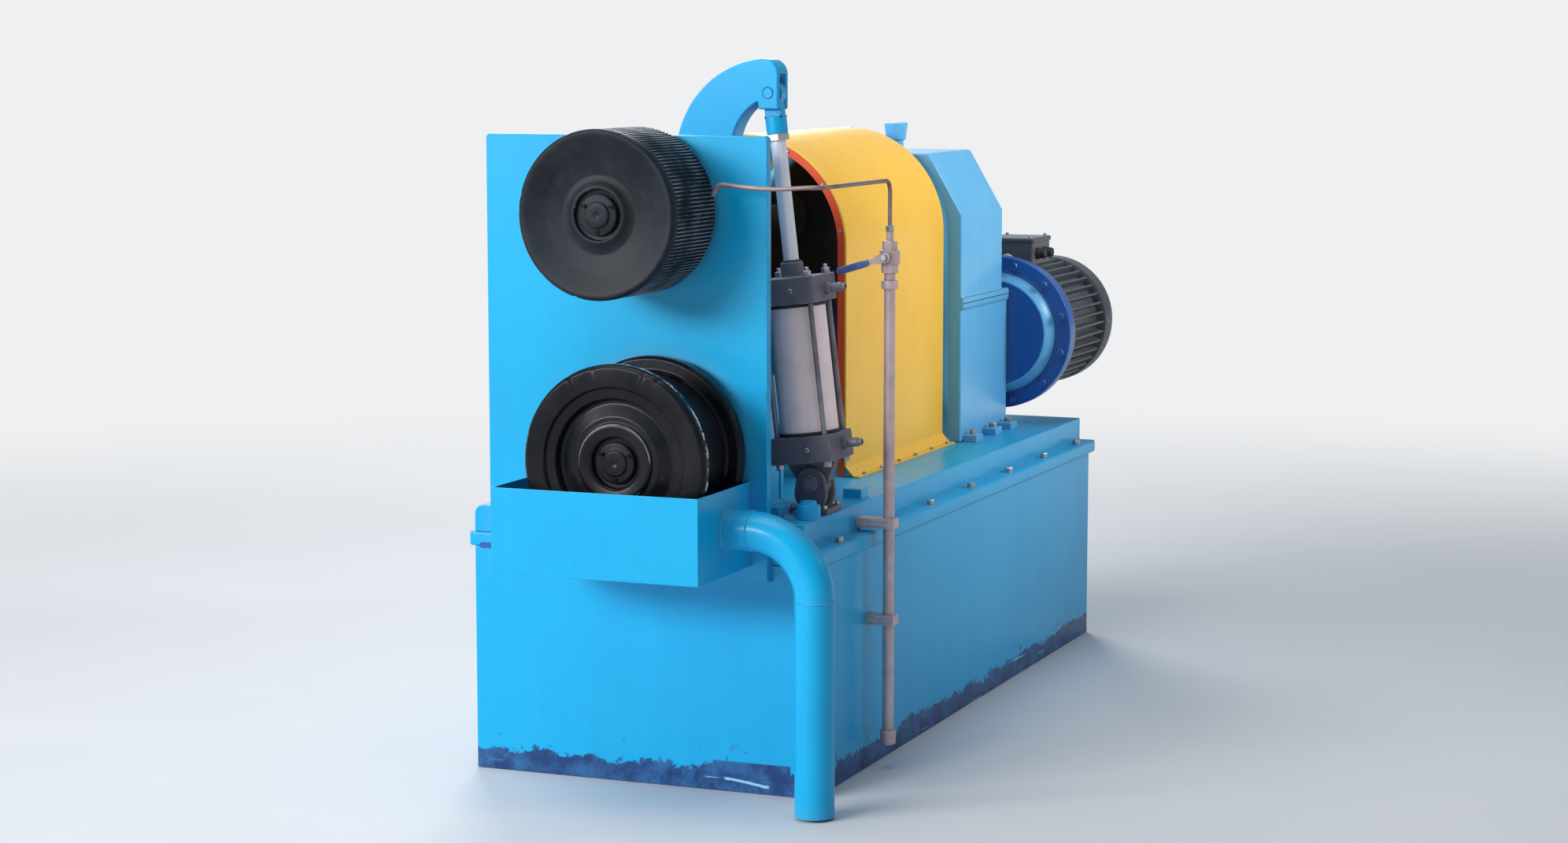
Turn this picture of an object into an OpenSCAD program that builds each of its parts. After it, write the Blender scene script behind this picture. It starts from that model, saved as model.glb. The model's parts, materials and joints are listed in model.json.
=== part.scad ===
// Two-roll pinch stand of a bar mill, with cantilevered rolls, an air cylinder and a geared drive.
// Millimetres. X runs with the bar, Y from the rolls back to the motor, Z up.
// The origin is the middle of the base on the floor.

/* [Base] */
// Width of the base box, along the line
base_w = 868; // [840:1:960]
// Length of the base box, from the rolls to the motor
base_l = 2200; // [2100:10:2400]
// Height of the base box
base_h = 537; // [500:1:570]
// Wall of the base box
base_wall = 12; // [8:1:20]
// Thickness of the flange plate on the box
flange_t = 35; // [25:1:40]
// Overhang of the flange plate at each side
flange_over = 15; // [8:1:20]
// Height of the bed above the flange plate
bed_h = 64; // [50:1:80]
// Step of the bed behind the right edge of the flange
bed_step = 43; // [30:1:60]
// Wall of the bed
bed_wall = 20; // [14:1:24]
// Round of the bed's left shoulder
bed_round = 22; // [12:1:40]

/* [Plates] */
// Width of the front plate
plate_w = 706; // [690:1:720]
// Offset of the front plate's middle to the left
plate_shift = 26; // [20:0.5:32]
// Thickness of the front plate
plate_t = 25; // [20:1:30]
// Height of the front plate's top above the bed
plate_h = 878; // [866:1:906]
// Lap of the front plate below the top of the bed
plate_lap = 134; // [90:1:160]
// Round of the front plate's top corners
plate_round = 10; // [4:1:20]
// Reach of the rear plate to the right of the lower roll's axis
rear_reach = 152; // [148:1:165]
// Distance from the front face of the base to the rear plate
rear_y = 330; // [325:1:345]
// Thickness of the rear plate
rear_t = 25; // [20:1:30]
// Height of the rear plate above the bed
rear_h = 760; // [740:1:820]
// Thickness of the ribs between the plates
rib_t = 16; // [12:1:20]

/* [Rolls] */
// Radius of the upper roll
upper_r = 190; // [180:0.5:194]
// Height of the lower roll's axis above the bed
lower_h = 157; // [150:1:166]
// Offset of the lower roll's axis from the middle of the base
lower_x = 62; // [54:1:68]
// Radius of the lower roll's flanges
flange_r = 222; // [212:0.5:224]
// Radius of the lower roll between its flanges
barrel_r = 188; // [180:0.5:200]
// Width of both rolls
roll_w = 238; // [220:1:244]
// Gap between the front plate and the rolls
roll_gap = 20; // [16:1:30]
// Width of each flange of the lower roll
roll_flange_w = 34; // [28:1:44]
// Width of the smooth band at the front of the upper roll
smooth_w = 24; // [16:1:60]
// Number of flutes round the upper roll
flute_count = 132; // [96:4:160]
// Depth of the flutes
flute_d = 3.2; // [2:0.1:4]
// Radius of the roll shafts
shaft_r = 35; // [30:0.5:38]

/* [Swing arm] */
// Offset of the arm's pivot to the left of the middle of the base
pivot_x = 258; // [250:1:264]
// Height of the arm's pivot above the bed
pivot_h = 611; // [606:1:616]
// Offset of the upper roll's axis from the middle of the base at rest
upper_x = 22.5; // [18:0.5:26]
// Height of the upper roll's axis above the bed at rest
upper_h = 708; // [704:1:716]
// Radius of the arm's hub at the pivot
hub_r = 92; // [85:1:96]
// Radius of the arm's boss round the roll shaft
boss_r = 104; // [96:1:108]
// Radius of the nose that carries the upper shaft through the front plate
nose_r = 52; // [48:1:56]
// Thickness of the gooseneck
neck_t = 65; // [58:1:72]
// Outer bend radius of the gooseneck
neck_outer = 235; // [228:1:240]
// Inner bend radius of the gooseneck
neck_inner = 118; // [112:1:124]
// Round of the gooseneck's top corner over the fork
neck_corner = 36; // [20:1:44]
// Thickness of each cheek of the fork at the end of the gooseneck
cheek_t = 13; // [11:0.5:14]
// Distance that the arm turns down from rest to its lowest pose, in degrees
swing = 21.5; // [15:0.5:22]

/* [Air cylinder] */
// Offset of the rod's upper pin from the middle of the base at rest
rod_pin_x = 250; // [246:1:254]
// Height of the rod's upper pin above the bed at rest
rod_pin_h = 971; // [968:1:974]
// Offset of the cylinder's lower pin from the middle of the base
foot_pin_x = 356; // [350:1:360]
// Height of the cylinder's lower pin above the bed
foot_pin_h = 71; // [68:1:80]
// Distance of the cylinder's axis behind the front face of the base
ram_y = 200; // [196:1:204]
// Width over the square end caps
cap_w = 150; // [144:1:156]
// Length of each end cap
cap_l = 62; // [56:1:66]
// Length of the barrel between the caps
barrel_l = 306; // [298:1:330]
// Inner radius of the barrel
bore_r = 62.5; // [60:0.5:64]
// Wall of the barrel
barrel_wall = 5.5; // [4:0.5:7]
// Radius of the piston rod
rod_r = 18; // [16:0.5:20]
// Radius of the pins at both ends of the cylinder
pin_r = 12; // [10:0.5:13]

/* [Guard] */
// Outer radius of the coupling guard's arch
guard_r = 280; // [270:1:290]
// Sheet of the guard
guard_t = 5; // [4:0.5:6]
// Height of the arch's centre above the bed
guard_h = 581; // [566:1:596]
// Offset of the guard's middle to the left of the middle of the base
guard_shift = 59; // [52:1:66]
// Distance of the guard behind the front face of the base
guard_y = 756; // [736:1:764]
// Length of the guard
guard_l = 744; // [720:1:748]
// Width of the ring at the guard's front end
guard_lip = 24; // [20:1:30]
// Height of the guard's flared foot
foot_h = 28; // [20:1:40]
// Reach of the guard's flared foot beside the arch
foot_out = 25; // [18:1:34]

/* [Gearbox and motor] */
// Width of the gearbox
gear_w = 650; // [630:1:680]
// Height of the gearbox above the bed
gear_h = 791; // [770:1:810]
// Length of the gearbox along the shafts
gear_l = 360; // [340:1:380]
// Distance of the gearbox behind the front face of the base
gear_y = 1520; // [1512:1:1535]
// Width of the sloped shoulders of the gearbox
gear_cut_x = 97; // [88:1:112]
// Height of the sloped shoulders of the gearbox
gear_cut_z = 167; // [150:1:175]
// Height of the split between the gearbox halves above the bed
split_h = 383; // [370:1:396]
// Offset of the motor's axis from the middle of the base
motor_x = 226; // [215:1:235]
// Height of the motor's axis above the bed
motor_h = 266; // [256:1:276]
// Radius of the motor's flange
motor_flange_r = 218; // [210:1:226]
// Radius of the motor's finned body
motor_r = 185; // [175:1:195]
// Length of the motor's finned body
motor_l = 420; // [380:1:460]

/* [Tray and pipes] */
// Width of the drip tray
tray_w = 506; // [500:1:530]
// Distance of the tray's right side outside the lower roll's flanges
tray_gap = 2; // [1:0.5:8]
// Depth of the tray in front of the base
tray_d = 325; // [318:1:345]
// Height of the tray's rim above the bed
tray_rim = 96; // [84:1:104]
// Height of the tray
tray_h = 195; // [186:1:210]
// Sheet of the tray
tray_t = 4; // [3:0.5:5]
// Outer radius of the drain pipe
drain_r = 45; // [40:0.5:50]
// Wall of the drain pipe
drain_wall = 4; // [3:0.5:5]
// Bend radius of the drain pipe
drain_bend = 150; // [135:1:160]
// Distance of the drain pipe in front of the base
drain_ahead = 160; // [150:1:175]
// Height of the drain pipe's level part above the bed
drain_h = 6; // [0:1:14]
// Outer radius of the water pipe
water_r = 13.5; // [10:0.5:15]
// Distance of the water pipe to the right of the base box
water_out = 50; // [44:1:58]
// Distance of the water pipe behind the front face of the base
water_back = 350; // [340:1:380]
// Height of the ball valve above the bed
valve_h = 589; // [570:1:610]
// Slope of the valve's lever in the photographed pose, in degrees
lever_drop = 17; // [0:1:30]
// Outer radius of the spray tube
spray_r = 5; // [4:0.5:6]
// Height of the spray tube's level part above the bed
spray_h = 768; // [752:1:780]
// Offset of the spray tube's tip from the middle of the base
tip_x = 226; // [222:1:250]

/* [Hidden] */
$fn = 72;

// Clearances: rod or shaft in a bore that turns or slides, seat of a part on its shaft
run_fit = 0.05;
seat_fit = 0.1;
// Free space round the arm's nose in the plate's slot, and at the loose upper pin
slot_gap = 8;
loose_pin_gap = 4.6;

front_y = -base_l / 2;
base_top = base_h + flange_t;
bed_top = base_top + bed_h;
flange_right = base_w / 2 + flange_over;
bed_left = -base_w / 2;
bed_right = flange_right - bed_step;
plate_bottom = bed_top - plate_lap;
plate_top = bed_top + plate_h;
roll_back_y = front_y - plate_t - roll_gap;
roll_front_y = roll_back_y - roll_w;

pivot = [-pivot_x, bed_top + pivot_h];
upper = [upper_x, bed_top + upper_h];
lower = [lower_x, bed_top + lower_h];
rod_pin = [rod_pin_x, bed_top + rod_pin_h];
foot_pin = [foot_pin_x, bed_top + foot_pin_h];
motor_axis = [motor_x, bed_top + motor_h];

blue = [0.11, 0.62, 0.86];
deep_blue = [0.07, 0.30, 0.62];
black = [0.06, 0.06, 0.07];
dark_grey = [0.22, 0.23, 0.26];
steel = [0.72, 0.73, 0.75];
yellow = [0.96, 0.78, 0.18];
orange = [0.85, 0.25, 0.08];

// A cylinder along Y between two stations, with an optional bore
module along_y(y0, y1, r, bore = 0) {
  translate([0, y0, 0])
    rotate([-90, 0, 0])
      difference() {
        cylinder(h = y1 - y0, r = r);
        if (bore > 0)
          translate([0, 0, -1])
            cylinder(h = y1 - y0 + 2, r = bore);
      }
}

// An outline drawn in X and Z, made solid between two stations along Y
module slab_y(y0, y1) {
  translate([0, y1, 0])
    rotate([90, 0, 0])
      linear_extrude(height = y1 - y0)
        children();
}

module place(p) {
  translate([p[0], 0, p[1]])
    children();
}

// A plain box given by its lowest corner and its size
module block(corner, size) {
  translate(corner)
    cube(size);
}

// Two discs and the straight sides between them, which run a hair inside their common tangents
side_inset = 0.03;

module link_2d(a, ra, b, rb) {
  d = norm(b - a);
  heading = atan2(b[1] - a[1], b[0] - a[0]);
  lean = acos((ra - rb) / d);
  side = function(c, r, s) c + (r - side_inset) * [cos(heading + s * lean), sin(heading + s * lean)];
  translate(a)
    circle(r = ra);
  translate(b)
    circle(r = rb);
  polygon([side(a, ra, 1), side(a, ra, -1), side(b, rb, -1), side(b, rb, 1)]);
}

// Base

module base_box() {
  color(blue)
    difference() {
      block([-base_w / 2, front_y, 0], [base_w, base_l, base_h]);
      block([-base_w / 2 + base_wall, front_y + base_wall, base_wall],
        [base_w - 2 * base_wall, base_l - 2 * base_wall, base_h]);
    }
}

module base_flange() {
  color(blue)
    block([-flange_right, front_y, base_h], [2 * flange_right, base_l + flange_over, flange_t]);
}

module bed_profile(inset) {
  left = bed_left + inset;
  right = bed_right - inset;
  top = bed_top - inset;
  r = max(bed_round - inset, 1);
  difference() {
    polygon([[left, base_top], [right, base_top], [right, top], [left, top]]);
    difference() {
      translate([left - 1, top - r])
        square([r + 1, r + 1]);
      translate([left + r, top - r])
        circle(r = r);
    }
  }
}

module bed() {
  color(blue)
    difference() {
      slab_y(front_y, front_y + base_l)
        bed_profile(0);
      slab_y(front_y + bed_wall, front_y + base_l - bed_wall)
        translate([0, -bed_wall])
          bed_profile(bed_wall);
      block([bed_left + bed_wall, front_y + bed_wall, base_top - 1],
        [bed_right - bed_left - 2 * bed_wall, base_l - 2 * bed_wall, 1 + bed_wall]);
    }
}

// Stand plates

module front_plate_outline() {
  left = -plate_shift - plate_w / 2;
  right = left + plate_w;
  difference() {
    polygon([[left, plate_bottom], [right, plate_bottom], [right, plate_top], [left, plate_top]]);
    for (s = [0, 1])
      translate([s ? right : left, plate_top])
        mirror([s, 0])
          difference() {
            translate([-1, -plate_round])
              square(plate_round + 1);
            translate([plate_round, -plate_round])
              circle(r = plate_round);
          }
  }
}

// Bent slot that the nose of the arm sweeps through, from rest down by the swing angle
module nose_slot() {
  reach = norm(upper - pivot);
  rest = atan2(upper[1] - pivot[1], upper[0] - pivot[0]);
  half = nose_r + slot_gap;
  translate([pivot[0], 0, pivot[1]]) {
    translate([0, front_y - plate_t - 1, 0])
      rotate([-90, 0, 0])
        rotate([0, 0, -rest])
          rotate_extrude(angle = swing)
            translate([reach - half, 0])
              square([2 * half, plate_t + 2]);
    for (a = [rest, rest - swing])
      translate([reach * cos(a), 0, reach * sin(a)])
        along_y(front_y - plate_t - 1, front_y + 1, half);
  }
}

module front_plate() {
  color(blue)
    difference() {
      slab_y(front_y - plate_t, front_y)
        front_plate_outline();
      nose_slot();
      place(lower)
        along_y(front_y - plate_t - 1, front_y + 1, shaft_r + slot_gap);
      place(pivot)
        along_y(front_y - trunnion_seat, front_y + 1, shaft_r + run_fit);
    }
}

// Ring behind the front plate that carries the arm's front trunnion
module pivot_bearing() {
  color(blue)
    place(pivot)
      along_y(front_y, front_y + bearing_ring_t, shaft_r + 38, shaft_r + run_fit);
}

trunnion_r = shaft_r + 25;
trunnion_seat = 17;
bearing_ring_t = 28;
hub_room = 36;
rear_left = pivot[0] - hub_r - hub_room;
rear_right = lower_x + rear_reach;
rib_h = rear_h * 0.4;

module rear_plate() {
  shoulder = rear_left + (rear_right - rear_left) * 0.62;
  color(blue)
    difference() {
      slab_y(front_y + rear_y, front_y + rear_y + rear_t)
        polygon([[rear_left, bed_top], [rear_right, bed_top], [rear_right, bed_top + rear_h / 2],
          [shoulder, bed_top + rear_h], [rear_left, bed_top + rear_h]]);
      place(pivot)
        along_y(front_y + rear_y - 1, front_y + rear_y + rear_t + 1, trunnion_r + run_fit);
      place(lower)
        along_y(front_y + rear_y - 1, front_y + rear_y + rear_t + 1, shaft_r + slot_gap);
    }
}

module left_side_plate() {
  color(blue)
    block([rear_left, front_y, bed_top], [rib_t, rear_y, rear_h - 40]);
}

module right_rib() {
  color(blue)
    block([rear_right - rib_t, front_y, bed_top], [rib_t, rear_y, rib_h]);
}

// Lower roll and its line of shafts

housing_r = shaft_r + 52;
cap_seat = 24;
coupling_back = 520;
coupling_y = front_y + coupling_back;
coupling_l = 150;

module lower_bearing_housing() {
  color(blue)
    place(lower) {
      along_y(front_y, front_y + rear_y, housing_r, shaft_r + run_fit);
      along_y(front_y, front_y + 22, housing_r + 28, shaft_r + run_fit);
    }
}

module lower_bearing_cover() {
  color(blue)
    place(lower)
      along_y(front_y + rear_y + rear_t, front_y + rear_y + rear_t + 20, housing_r - 12, shaft_r + slot_gap);
}

module lower_shaft() {
  color(steel)
    place(lower)
      along_y(roll_front_y + cap_seat, coupling_y + coupling_l / 2 - 1, shaft_r);
}

// Half section of the lower roll: axis distance against width from the front face
module lower_roll_section() {
  bore = shaft_r + seat_fit;
  polygon([
    [bore, cap_seat], [62, cap_seat], [62, 10], [104, 10], [132, 26], [140, 26], [146, 8], [168, 8],
    [172, 0], [flange_r - 8, 0], [flange_r, 8], [flange_r, roll_flange_w - 6], [flange_r - 6, roll_flange_w],
    [barrel_r + 4, roll_flange_w], [barrel_r, roll_flange_w + 4],
    [barrel_r, roll_w - roll_flange_w - 4], [barrel_r + 4, roll_w - roll_flange_w],
    [flange_r - 6, roll_w - roll_flange_w], [flange_r, roll_w - roll_flange_w + 6],
    [flange_r, roll_w - 4], [flange_r - 4, roll_w], [150, roll_w], [140, roll_w - 30],
    [80, roll_w - 30], [70, roll_w], [bore, roll_w]
  ]);
}

module roll_of(axis_place) {
  place(axis_place)
    translate([0, roll_front_y, 0])
      rotate([-90, 0, 0])
        rotate_extrude($fn = 144)
          children();
}

module lower_roll() {
  color(black)
    roll_of(lower)
      lower_roll_section();
}

module roll_cap(axis_place) {
  color(dark_grey)
    place(axis_place)
      along_y(roll_front_y + 8, roll_front_y + cap_seat, shaft_r + 12);
}

module lower_roll_cap() {
  roll_cap(lower);
}

// Two flanged halves with a gap ring between them
module coupling_pair(axis_place) {
  mid = coupling_y + coupling_l / 2;
  color(dark_grey)
    place(axis_place)
      difference() {
        union() {
          along_y(coupling_y, coupling_y + coupling_l, shaft_r + 20);
          along_y(mid - 28, mid - 4, shaft_r + 27);
          along_y(mid + 4, mid + 28, shaft_r + 27);
        }
        along_y(coupling_y - 1, coupling_y + coupling_l + 1, shaft_r + seat_fit);
      }
}

module lower_coupling() {
  coupling_pair(lower);
}

module lower_drive_shaft() {
  color(steel)
    place(lower)
      along_y(coupling_y + coupling_l / 2 + 1, front_y + gear_y - seal_t - 1, shaft_r);
}

// Swing arm, drawn at rest

neck_y0 = front_y + ram_y - neck_t / 2;
neck_y1 = neck_y0 + neck_t;
case_front = 35;
case_back = 295;
case_y0 = front_y + case_front;
case_y1 = front_y + case_back;
cover_t = 18;
fork_half_w = 25;
fork_drop = 37;
slot_y0 = neck_y0 + cheek_t;
slot_y1 = neck_y1 - cheek_t;

// Outline of the gooseneck: an outer quarter bend less an inner bend, with the fork boss and the root
module gooseneck_2d() {
  outer_c = rod_pin + [1, 80 - neck_outer];
  inner_c = rod_pin + [28, -125];
  fork_right = rod_pin[0] + fork_half_w;
  corner = [fork_right - neck_corner, outer_c[1] + neck_outer - neck_corner - 1];
  difference() {
    union() {
      intersection() {
        translate(outer_c)
          circle(r = neck_outer, $fn = 144);
        translate([outer_c[0] - neck_outer, outer_c[1]])
          square([fork_right - outer_c[0] + neck_outer, neck_outer]);
      }
      polygon([outer_c - [neck_outer, 0], outer_c - [neck_outer / 4, 0],
        upper + [boss_r * 0.9, -50], upper]);
    }
    translate(inner_c)
      circle(r = neck_inner, $fn = 144);
    difference() {
      translate(corner)
        square(neck_corner + 2);
      translate(corner)
        circle(r = neck_corner);
    }
  }
  translate([fork_right - 2 * fork_half_w, rod_pin[1] - fork_drop])
    square([2 * fork_half_w, fork_drop + 30]);
}

module swing_arm() {
  color(blue)
    difference() {
      union() {
        slab_y(case_y0, case_y1)
          link_2d(pivot, hub_r, upper, boss_r);
        slab_y(neck_y0, neck_y1)
          gooseneck_2d();
        place(upper)
          along_y(front_y - plate_t - 6, case_y0 + 1, nose_r);
        place(pivot) {
          along_y(front_y - trunnion_seat + 1, case_y0 + 1, shaft_r);
          along_y(case_y1 - 1, front_y + rear_y + rear_t, trunnion_r);
        }
      }
      place(upper)
        along_y(front_y - plate_t - 7, case_y1 + 1, shaft_r + run_fit);
      place(pivot)
        along_y(case_y0 + 120, front_y + rear_y + rear_t + 1, shaft_r + run_fit);
      block([rod_pin[0] - fork_half_w - 8, slot_y0, rod_pin[1] - fork_drop - 1],
        [2 * fork_half_w + 60, slot_y1 - slot_y0, fork_drop + 41]);
      place(rod_pin)
        along_y(neck_y0 - 1, neck_y1 + 1, pin_r + seat_fit);
    }
}

module arm_cover() {
  color(blue)
    difference() {
      slab_y(case_y1, case_y1 + cover_t)
        link_2d(pivot, hub_r - 4, upper, boss_r - 4);
      place(pivot)
        along_y(case_y1 - 1, case_y1 + cover_t + 1, trunnion_r + seat_fit);
    }
}

module arm_fork_pin() {
  color(steel)
    place(rod_pin)
      along_y(neck_y0 - 1, neck_y1 + 5, pin_r);
}

module upper_shaft() {
  color(steel)
    place(upper)
      along_y(roll_front_y + cap_seat, case_y1 - 4, shaft_r);
}

// Half section of the upper roll inside the fluted rim
module upper_roll_section() {
  bore = shaft_r + seat_fit;
  rim = upper_r - flute_d - 4;
  polygon([
    [bore, cap_seat], [56, cap_seat], [56, 12], [72, 12], [78, 24], [88, 26], [130, 14], [172, 2],
    [upper_r - 6, 0], [upper_r, 6], [upper_r, smooth_w], [rim, smooth_w],
    [rim, roll_w], [150, roll_w], [140, roll_w - 30], [80, roll_w - 30], [70, roll_w], [bore, roll_w]
  ]);
}

flute_relief = 0.6;

// Toothed ring: each flute is a trapezoid gap in the rim, with tips just under the smooth band
module flute_ring() {
  step = 360 / flute_count;
  root = upper_r - flute_d;
  tip = upper_r - flute_relief;
  edge = function(r, a) r * [cos(a), sin(a)];
  difference() {
    polygon([for (i = [0 : flute_count - 1])
      each [edge(root, i * step), edge(tip, (i + 0.3) * step),
        edge(tip, (i + 0.7) * step), edge(root, (i + 0.95) * step)]]);
    circle(r = root - 6, $fn = 144);
  }
}

module upper_roll() {
  color(black) {
    roll_of(upper)
      upper_roll_section();
    place(upper)
      slab_y(roll_front_y + smooth_w, roll_back_y)
        flute_ring();
  }
}

module upper_roll_cap() {
  roll_cap(upper);
}

module upper_coupling() {
  coupling_pair(pivot);
}

module upper_drive_shaft() {
  color(steel)
    place(pivot)
      along_y(case_y0 + 122, front_y + gear_y - seal_t - 1, shaft_r);
}

// Air cylinder, drawn upright from its foot pin and then leaned. Its four tie rods end at the caps

ram_lean = atan2(foot_pin[0] - rod_pin[0], rod_pin[1] - foot_pin[1]);
ram_length = norm(rod_pin - foot_pin);
cap_start = 50;
barrel_start = cap_start + cap_l;
head_start = barrel_start + barrel_l;
head_end = head_start + cap_l;
gland_l = 34;
gland_r = 27;
tongue_t = slot_y1 - slot_y0 - 8;
eye_r = 28;
foot_eye_r = 36;
piston_l = 40;
collar_top = ram_length - 54;
collar_l = 40;
tie_r = 6;
tie_inset = 16;
tongue_half_w = 62;

module on_ram() {
  translate([foot_pin[0], front_y + ram_y, foot_pin[1]])
    rotate([0, -ram_lean, 0])
      children();
}

module cross_pin_hole(r, h) {
  rotate([90, 0, 0])
    cylinder(h = h, r = r, center = true);
}

module tie_places() {
  reach = cap_w / 2 - tie_inset;
  for (sx = [-1, 1], sy = [-1, 1])
    translate([sx * reach, sy * reach, 0])
      children();
}

module cap_plate(z0) {
  block([-cap_w / 2, -cap_w / 2, z0], [cap_w, cap_w, cap_l]);
}

module cylinder_end_cap() {
  color(dark_grey)
    on_ram()
      difference() {
        union() {
          cap_plate(cap_start);
          slab_y(-tongue_t / 2, tongue_t / 2)
            union() {
              circle(r = foot_eye_r);
              polygon([[-foot_eye_r, -4], [foot_eye_r, -4], [tongue_half_w, cap_start + 1],
                [-tongue_half_w, cap_start + 1]]);
            }
        }
        cross_pin_hole(pin_r + run_fit, tongue_t + 2);
      }
}

module cylinder_head_cap() {
  color(dark_grey)
    on_ram()
      difference() {
        union() {
          cap_plate(head_start);
          translate([0, 0, head_end - 1])
            cylinder(h = gland_l + 1, r = gland_r);
        }
        translate([0, 0, head_start - 1])
          cylinder(h = cap_l + gland_l + 2, r = rod_r + run_fit);
      }
}

module cylinder_barrel() {
  color(steel)
    on_ram()
      translate([0, 0, barrel_start])
        difference() {
          cylinder(h = barrel_l, r = bore_r + barrel_wall);
          translate([0, 0, -1])
            cylinder(h = barrel_l + 2, r = bore_r);
        }
}

module cylinder_tie_rods() {
  color(steel)
    on_ram()
      tie_places()
        translate([0, 0, barrel_start])
          cylinder(h = barrel_l, r = tie_r, $fn = 24);
}

module piston_rod() {
  piston_z = head_start - 6 - piston_l;
  color(steel)
    on_ram()
      union() {
        translate([0, 0, piston_z])
          cylinder(h = piston_l, r = bore_r - run_fit);
        translate([0, 0, piston_z + piston_l])
          cylinder(h = collar_top - collar_l - piston_z - piston_l, r = rod_r);
      }
}

module rod_eye() {
  color(blue)
    on_ram()
      difference() {
        union() {
          translate([0, 0, collar_top - collar_l])
            cylinder(h = collar_l, r = 25);
          translate([-20, -tongue_t / 2, collar_top - 1])
            cube([40, tongue_t, ram_length - collar_top + 1]);
          translate([0, 0, ram_length])
            rotate([90, 0, 0])
              cylinder(h = tongue_t, r = eye_r, center = true);
        }
        translate([0, 0, ram_length])
          cross_pin_hole(pin_r + loose_pin_gap, tongue_t + 2);
      }
}

ear_t = 15;
ear_gap = 4;
shoe_half_w = 48;

module clevis_bracket() {
  inner = tongue_t / 2 + ear_gap;
  shoe_half_l = inner + ear_t + 12;
  color(dark_grey)
    translate([foot_pin[0], front_y + ram_y, 0])
      difference() {
        union() {
          block([-shoe_half_w, -shoe_half_l, bed_top], [2 * shoe_half_w, 2 * shoe_half_l, 14]);
          for (s = [-1, 1])
            translate([0, s * (inner + ear_t / 2), 0])
              slab_y(-ear_t / 2, ear_t / 2)
                link_2d([0, bed_top + 45], foot_eye_r + 4, [0, foot_pin[1]], foot_eye_r);
        }
        translate([0, 0, bed_top - 60])
          block([-60, -100, 0], [120, 200, 60]);
        translate([0, 0, foot_pin[1]])
          cross_pin_hole(pin_r + seat_fit, 200);
      }
}

module clevis_pin() {
  reach = tongue_t / 2 + ear_gap + ear_t + 6;
  color(steel)
    place(foot_pin)
      along_y(front_y + ram_y - reach, front_y + ram_y + reach, pin_r);
}

// Guard over the couplings

guard_x = -guard_shift;
foot_lip = 12;
ring_t = 6;

// Arch of a given radius that stands on legs from a given height above the bed
module guard_outline(r, from) {
  translate([guard_x, bed_top + guard_h])
    intersection() {
      circle(r = r, $fn = 144);
      translate([-r - 1, 0])
        square([2 * r + 2, r + 1]);
    }
  translate([guard_x - r, bed_top + from])
    square([2 * r, guard_h - from]);
}

// Flared skirt below the legs, whose sides slope out by the foot's reach
module skirt_2d(inset) {
  half = guard_r - inset;
  translate([guard_x, bed_top])
    polygon([[-half, foot_h], [-half - foot_out, 0], [half + foot_out, 0], [half, foot_h]]);
}

module coupling_guard() {
  y0 = front_y + guard_y;
  lip_reach = guard_r + foot_out + foot_lip;
  color(yellow)
    slab_y(y0, y0 + guard_l)
      difference() {
        union() {
          guard_outline(guard_r, foot_h);
          skirt_2d(0);
          translate([guard_x - lip_reach, bed_top])
            square([2 * lip_reach, guard_t]);
        }
        guard_outline(guard_r - guard_t, foot_h);
        skirt_2d(guard_t);
      }
}

module guard_front_ring() {
  y0 = front_y + guard_y;
  color(orange)
    slab_y(y0, y0 + ring_t)
      difference() {
        guard_outline(guard_r - guard_t, 0);
        guard_outline(guard_r - guard_lip, -1);
      }
}

// Gearbox and motor

seal_t = 16;
gear_y0 = front_y + gear_y;
gear_y1 = gear_y0 + gear_l;
lower_half_y1 = gear_y1 + 50;
adapter_l = 80;
adapter_r0 = 150;
adapter_r1 = 172;
motor_ring_t = 48;
motor_y0 = lower_half_y1 + adapter_l;
split_t = 32;
split_over = 6;
vent_x = 90;
vent_back = 120;
vent_neck_h = 32;
seal_ring = 40;
seal_gap = 2;
fan_straight = 70;
fan_l = 100;

// The lower half reaches further back than the upper half, where the motor is flanged on
module gearbox() {
  left = guard_x - gear_w / 2;
  right = guard_x + gear_w / 2;
  top = bed_top + gear_h;
  split_z = bed_top + split_h;
  color(blue) {
    slab_y(gear_y0, gear_y1)
      polygon([[left, split_z], [right, split_z], [right, top - gear_cut_z], [right - gear_cut_x, top],
        [left + gear_cut_x, top], [left, top - gear_cut_z]]);
    slab_y(gear_y0, lower_half_y1)
      polygon([[left, bed_top], [right, bed_top], [right, split_z - split_t / 2],
        [right + split_over, split_z - split_t / 2], [right + split_over, split_z + split_t / 2],
        [left - split_over, split_z + split_t / 2], [left - split_over, split_z - split_t / 2],
        [left, split_z - split_t / 2]]);
  }
}

module gearbox_vent() {
  color(blue)
    translate([guard_x + vent_x, gear_y0 + vent_back, bed_top + gear_h]) {
      cylinder(h = vent_neck_h, r = 21);
      translate([0, 0, vent_neck_h])
        cylinder(h = 46, r1 = 27, r2 = 33);
    }
}

module gearbox_seals() {
  color(deep_blue)
    for (p = [lower, pivot])
      place(p)
        along_y(gear_y0 - seal_t, gear_y0, shaft_r + seal_ring, shaft_r + seal_gap);
}

module motor_adapter() {
  color(deep_blue)
    place(motor_axis)
      translate([0, lower_half_y1, 0])
        rotate([-90, 0, 0])
          rotate_extrude()
            polygon([[0, 0], [adapter_r0, 0], [adapter_r1, adapter_l - motor_ring_t],
              [motor_flange_r, adapter_l - motor_ring_t], [motor_flange_r, adapter_l], [0, adapter_l]]);
}

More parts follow.
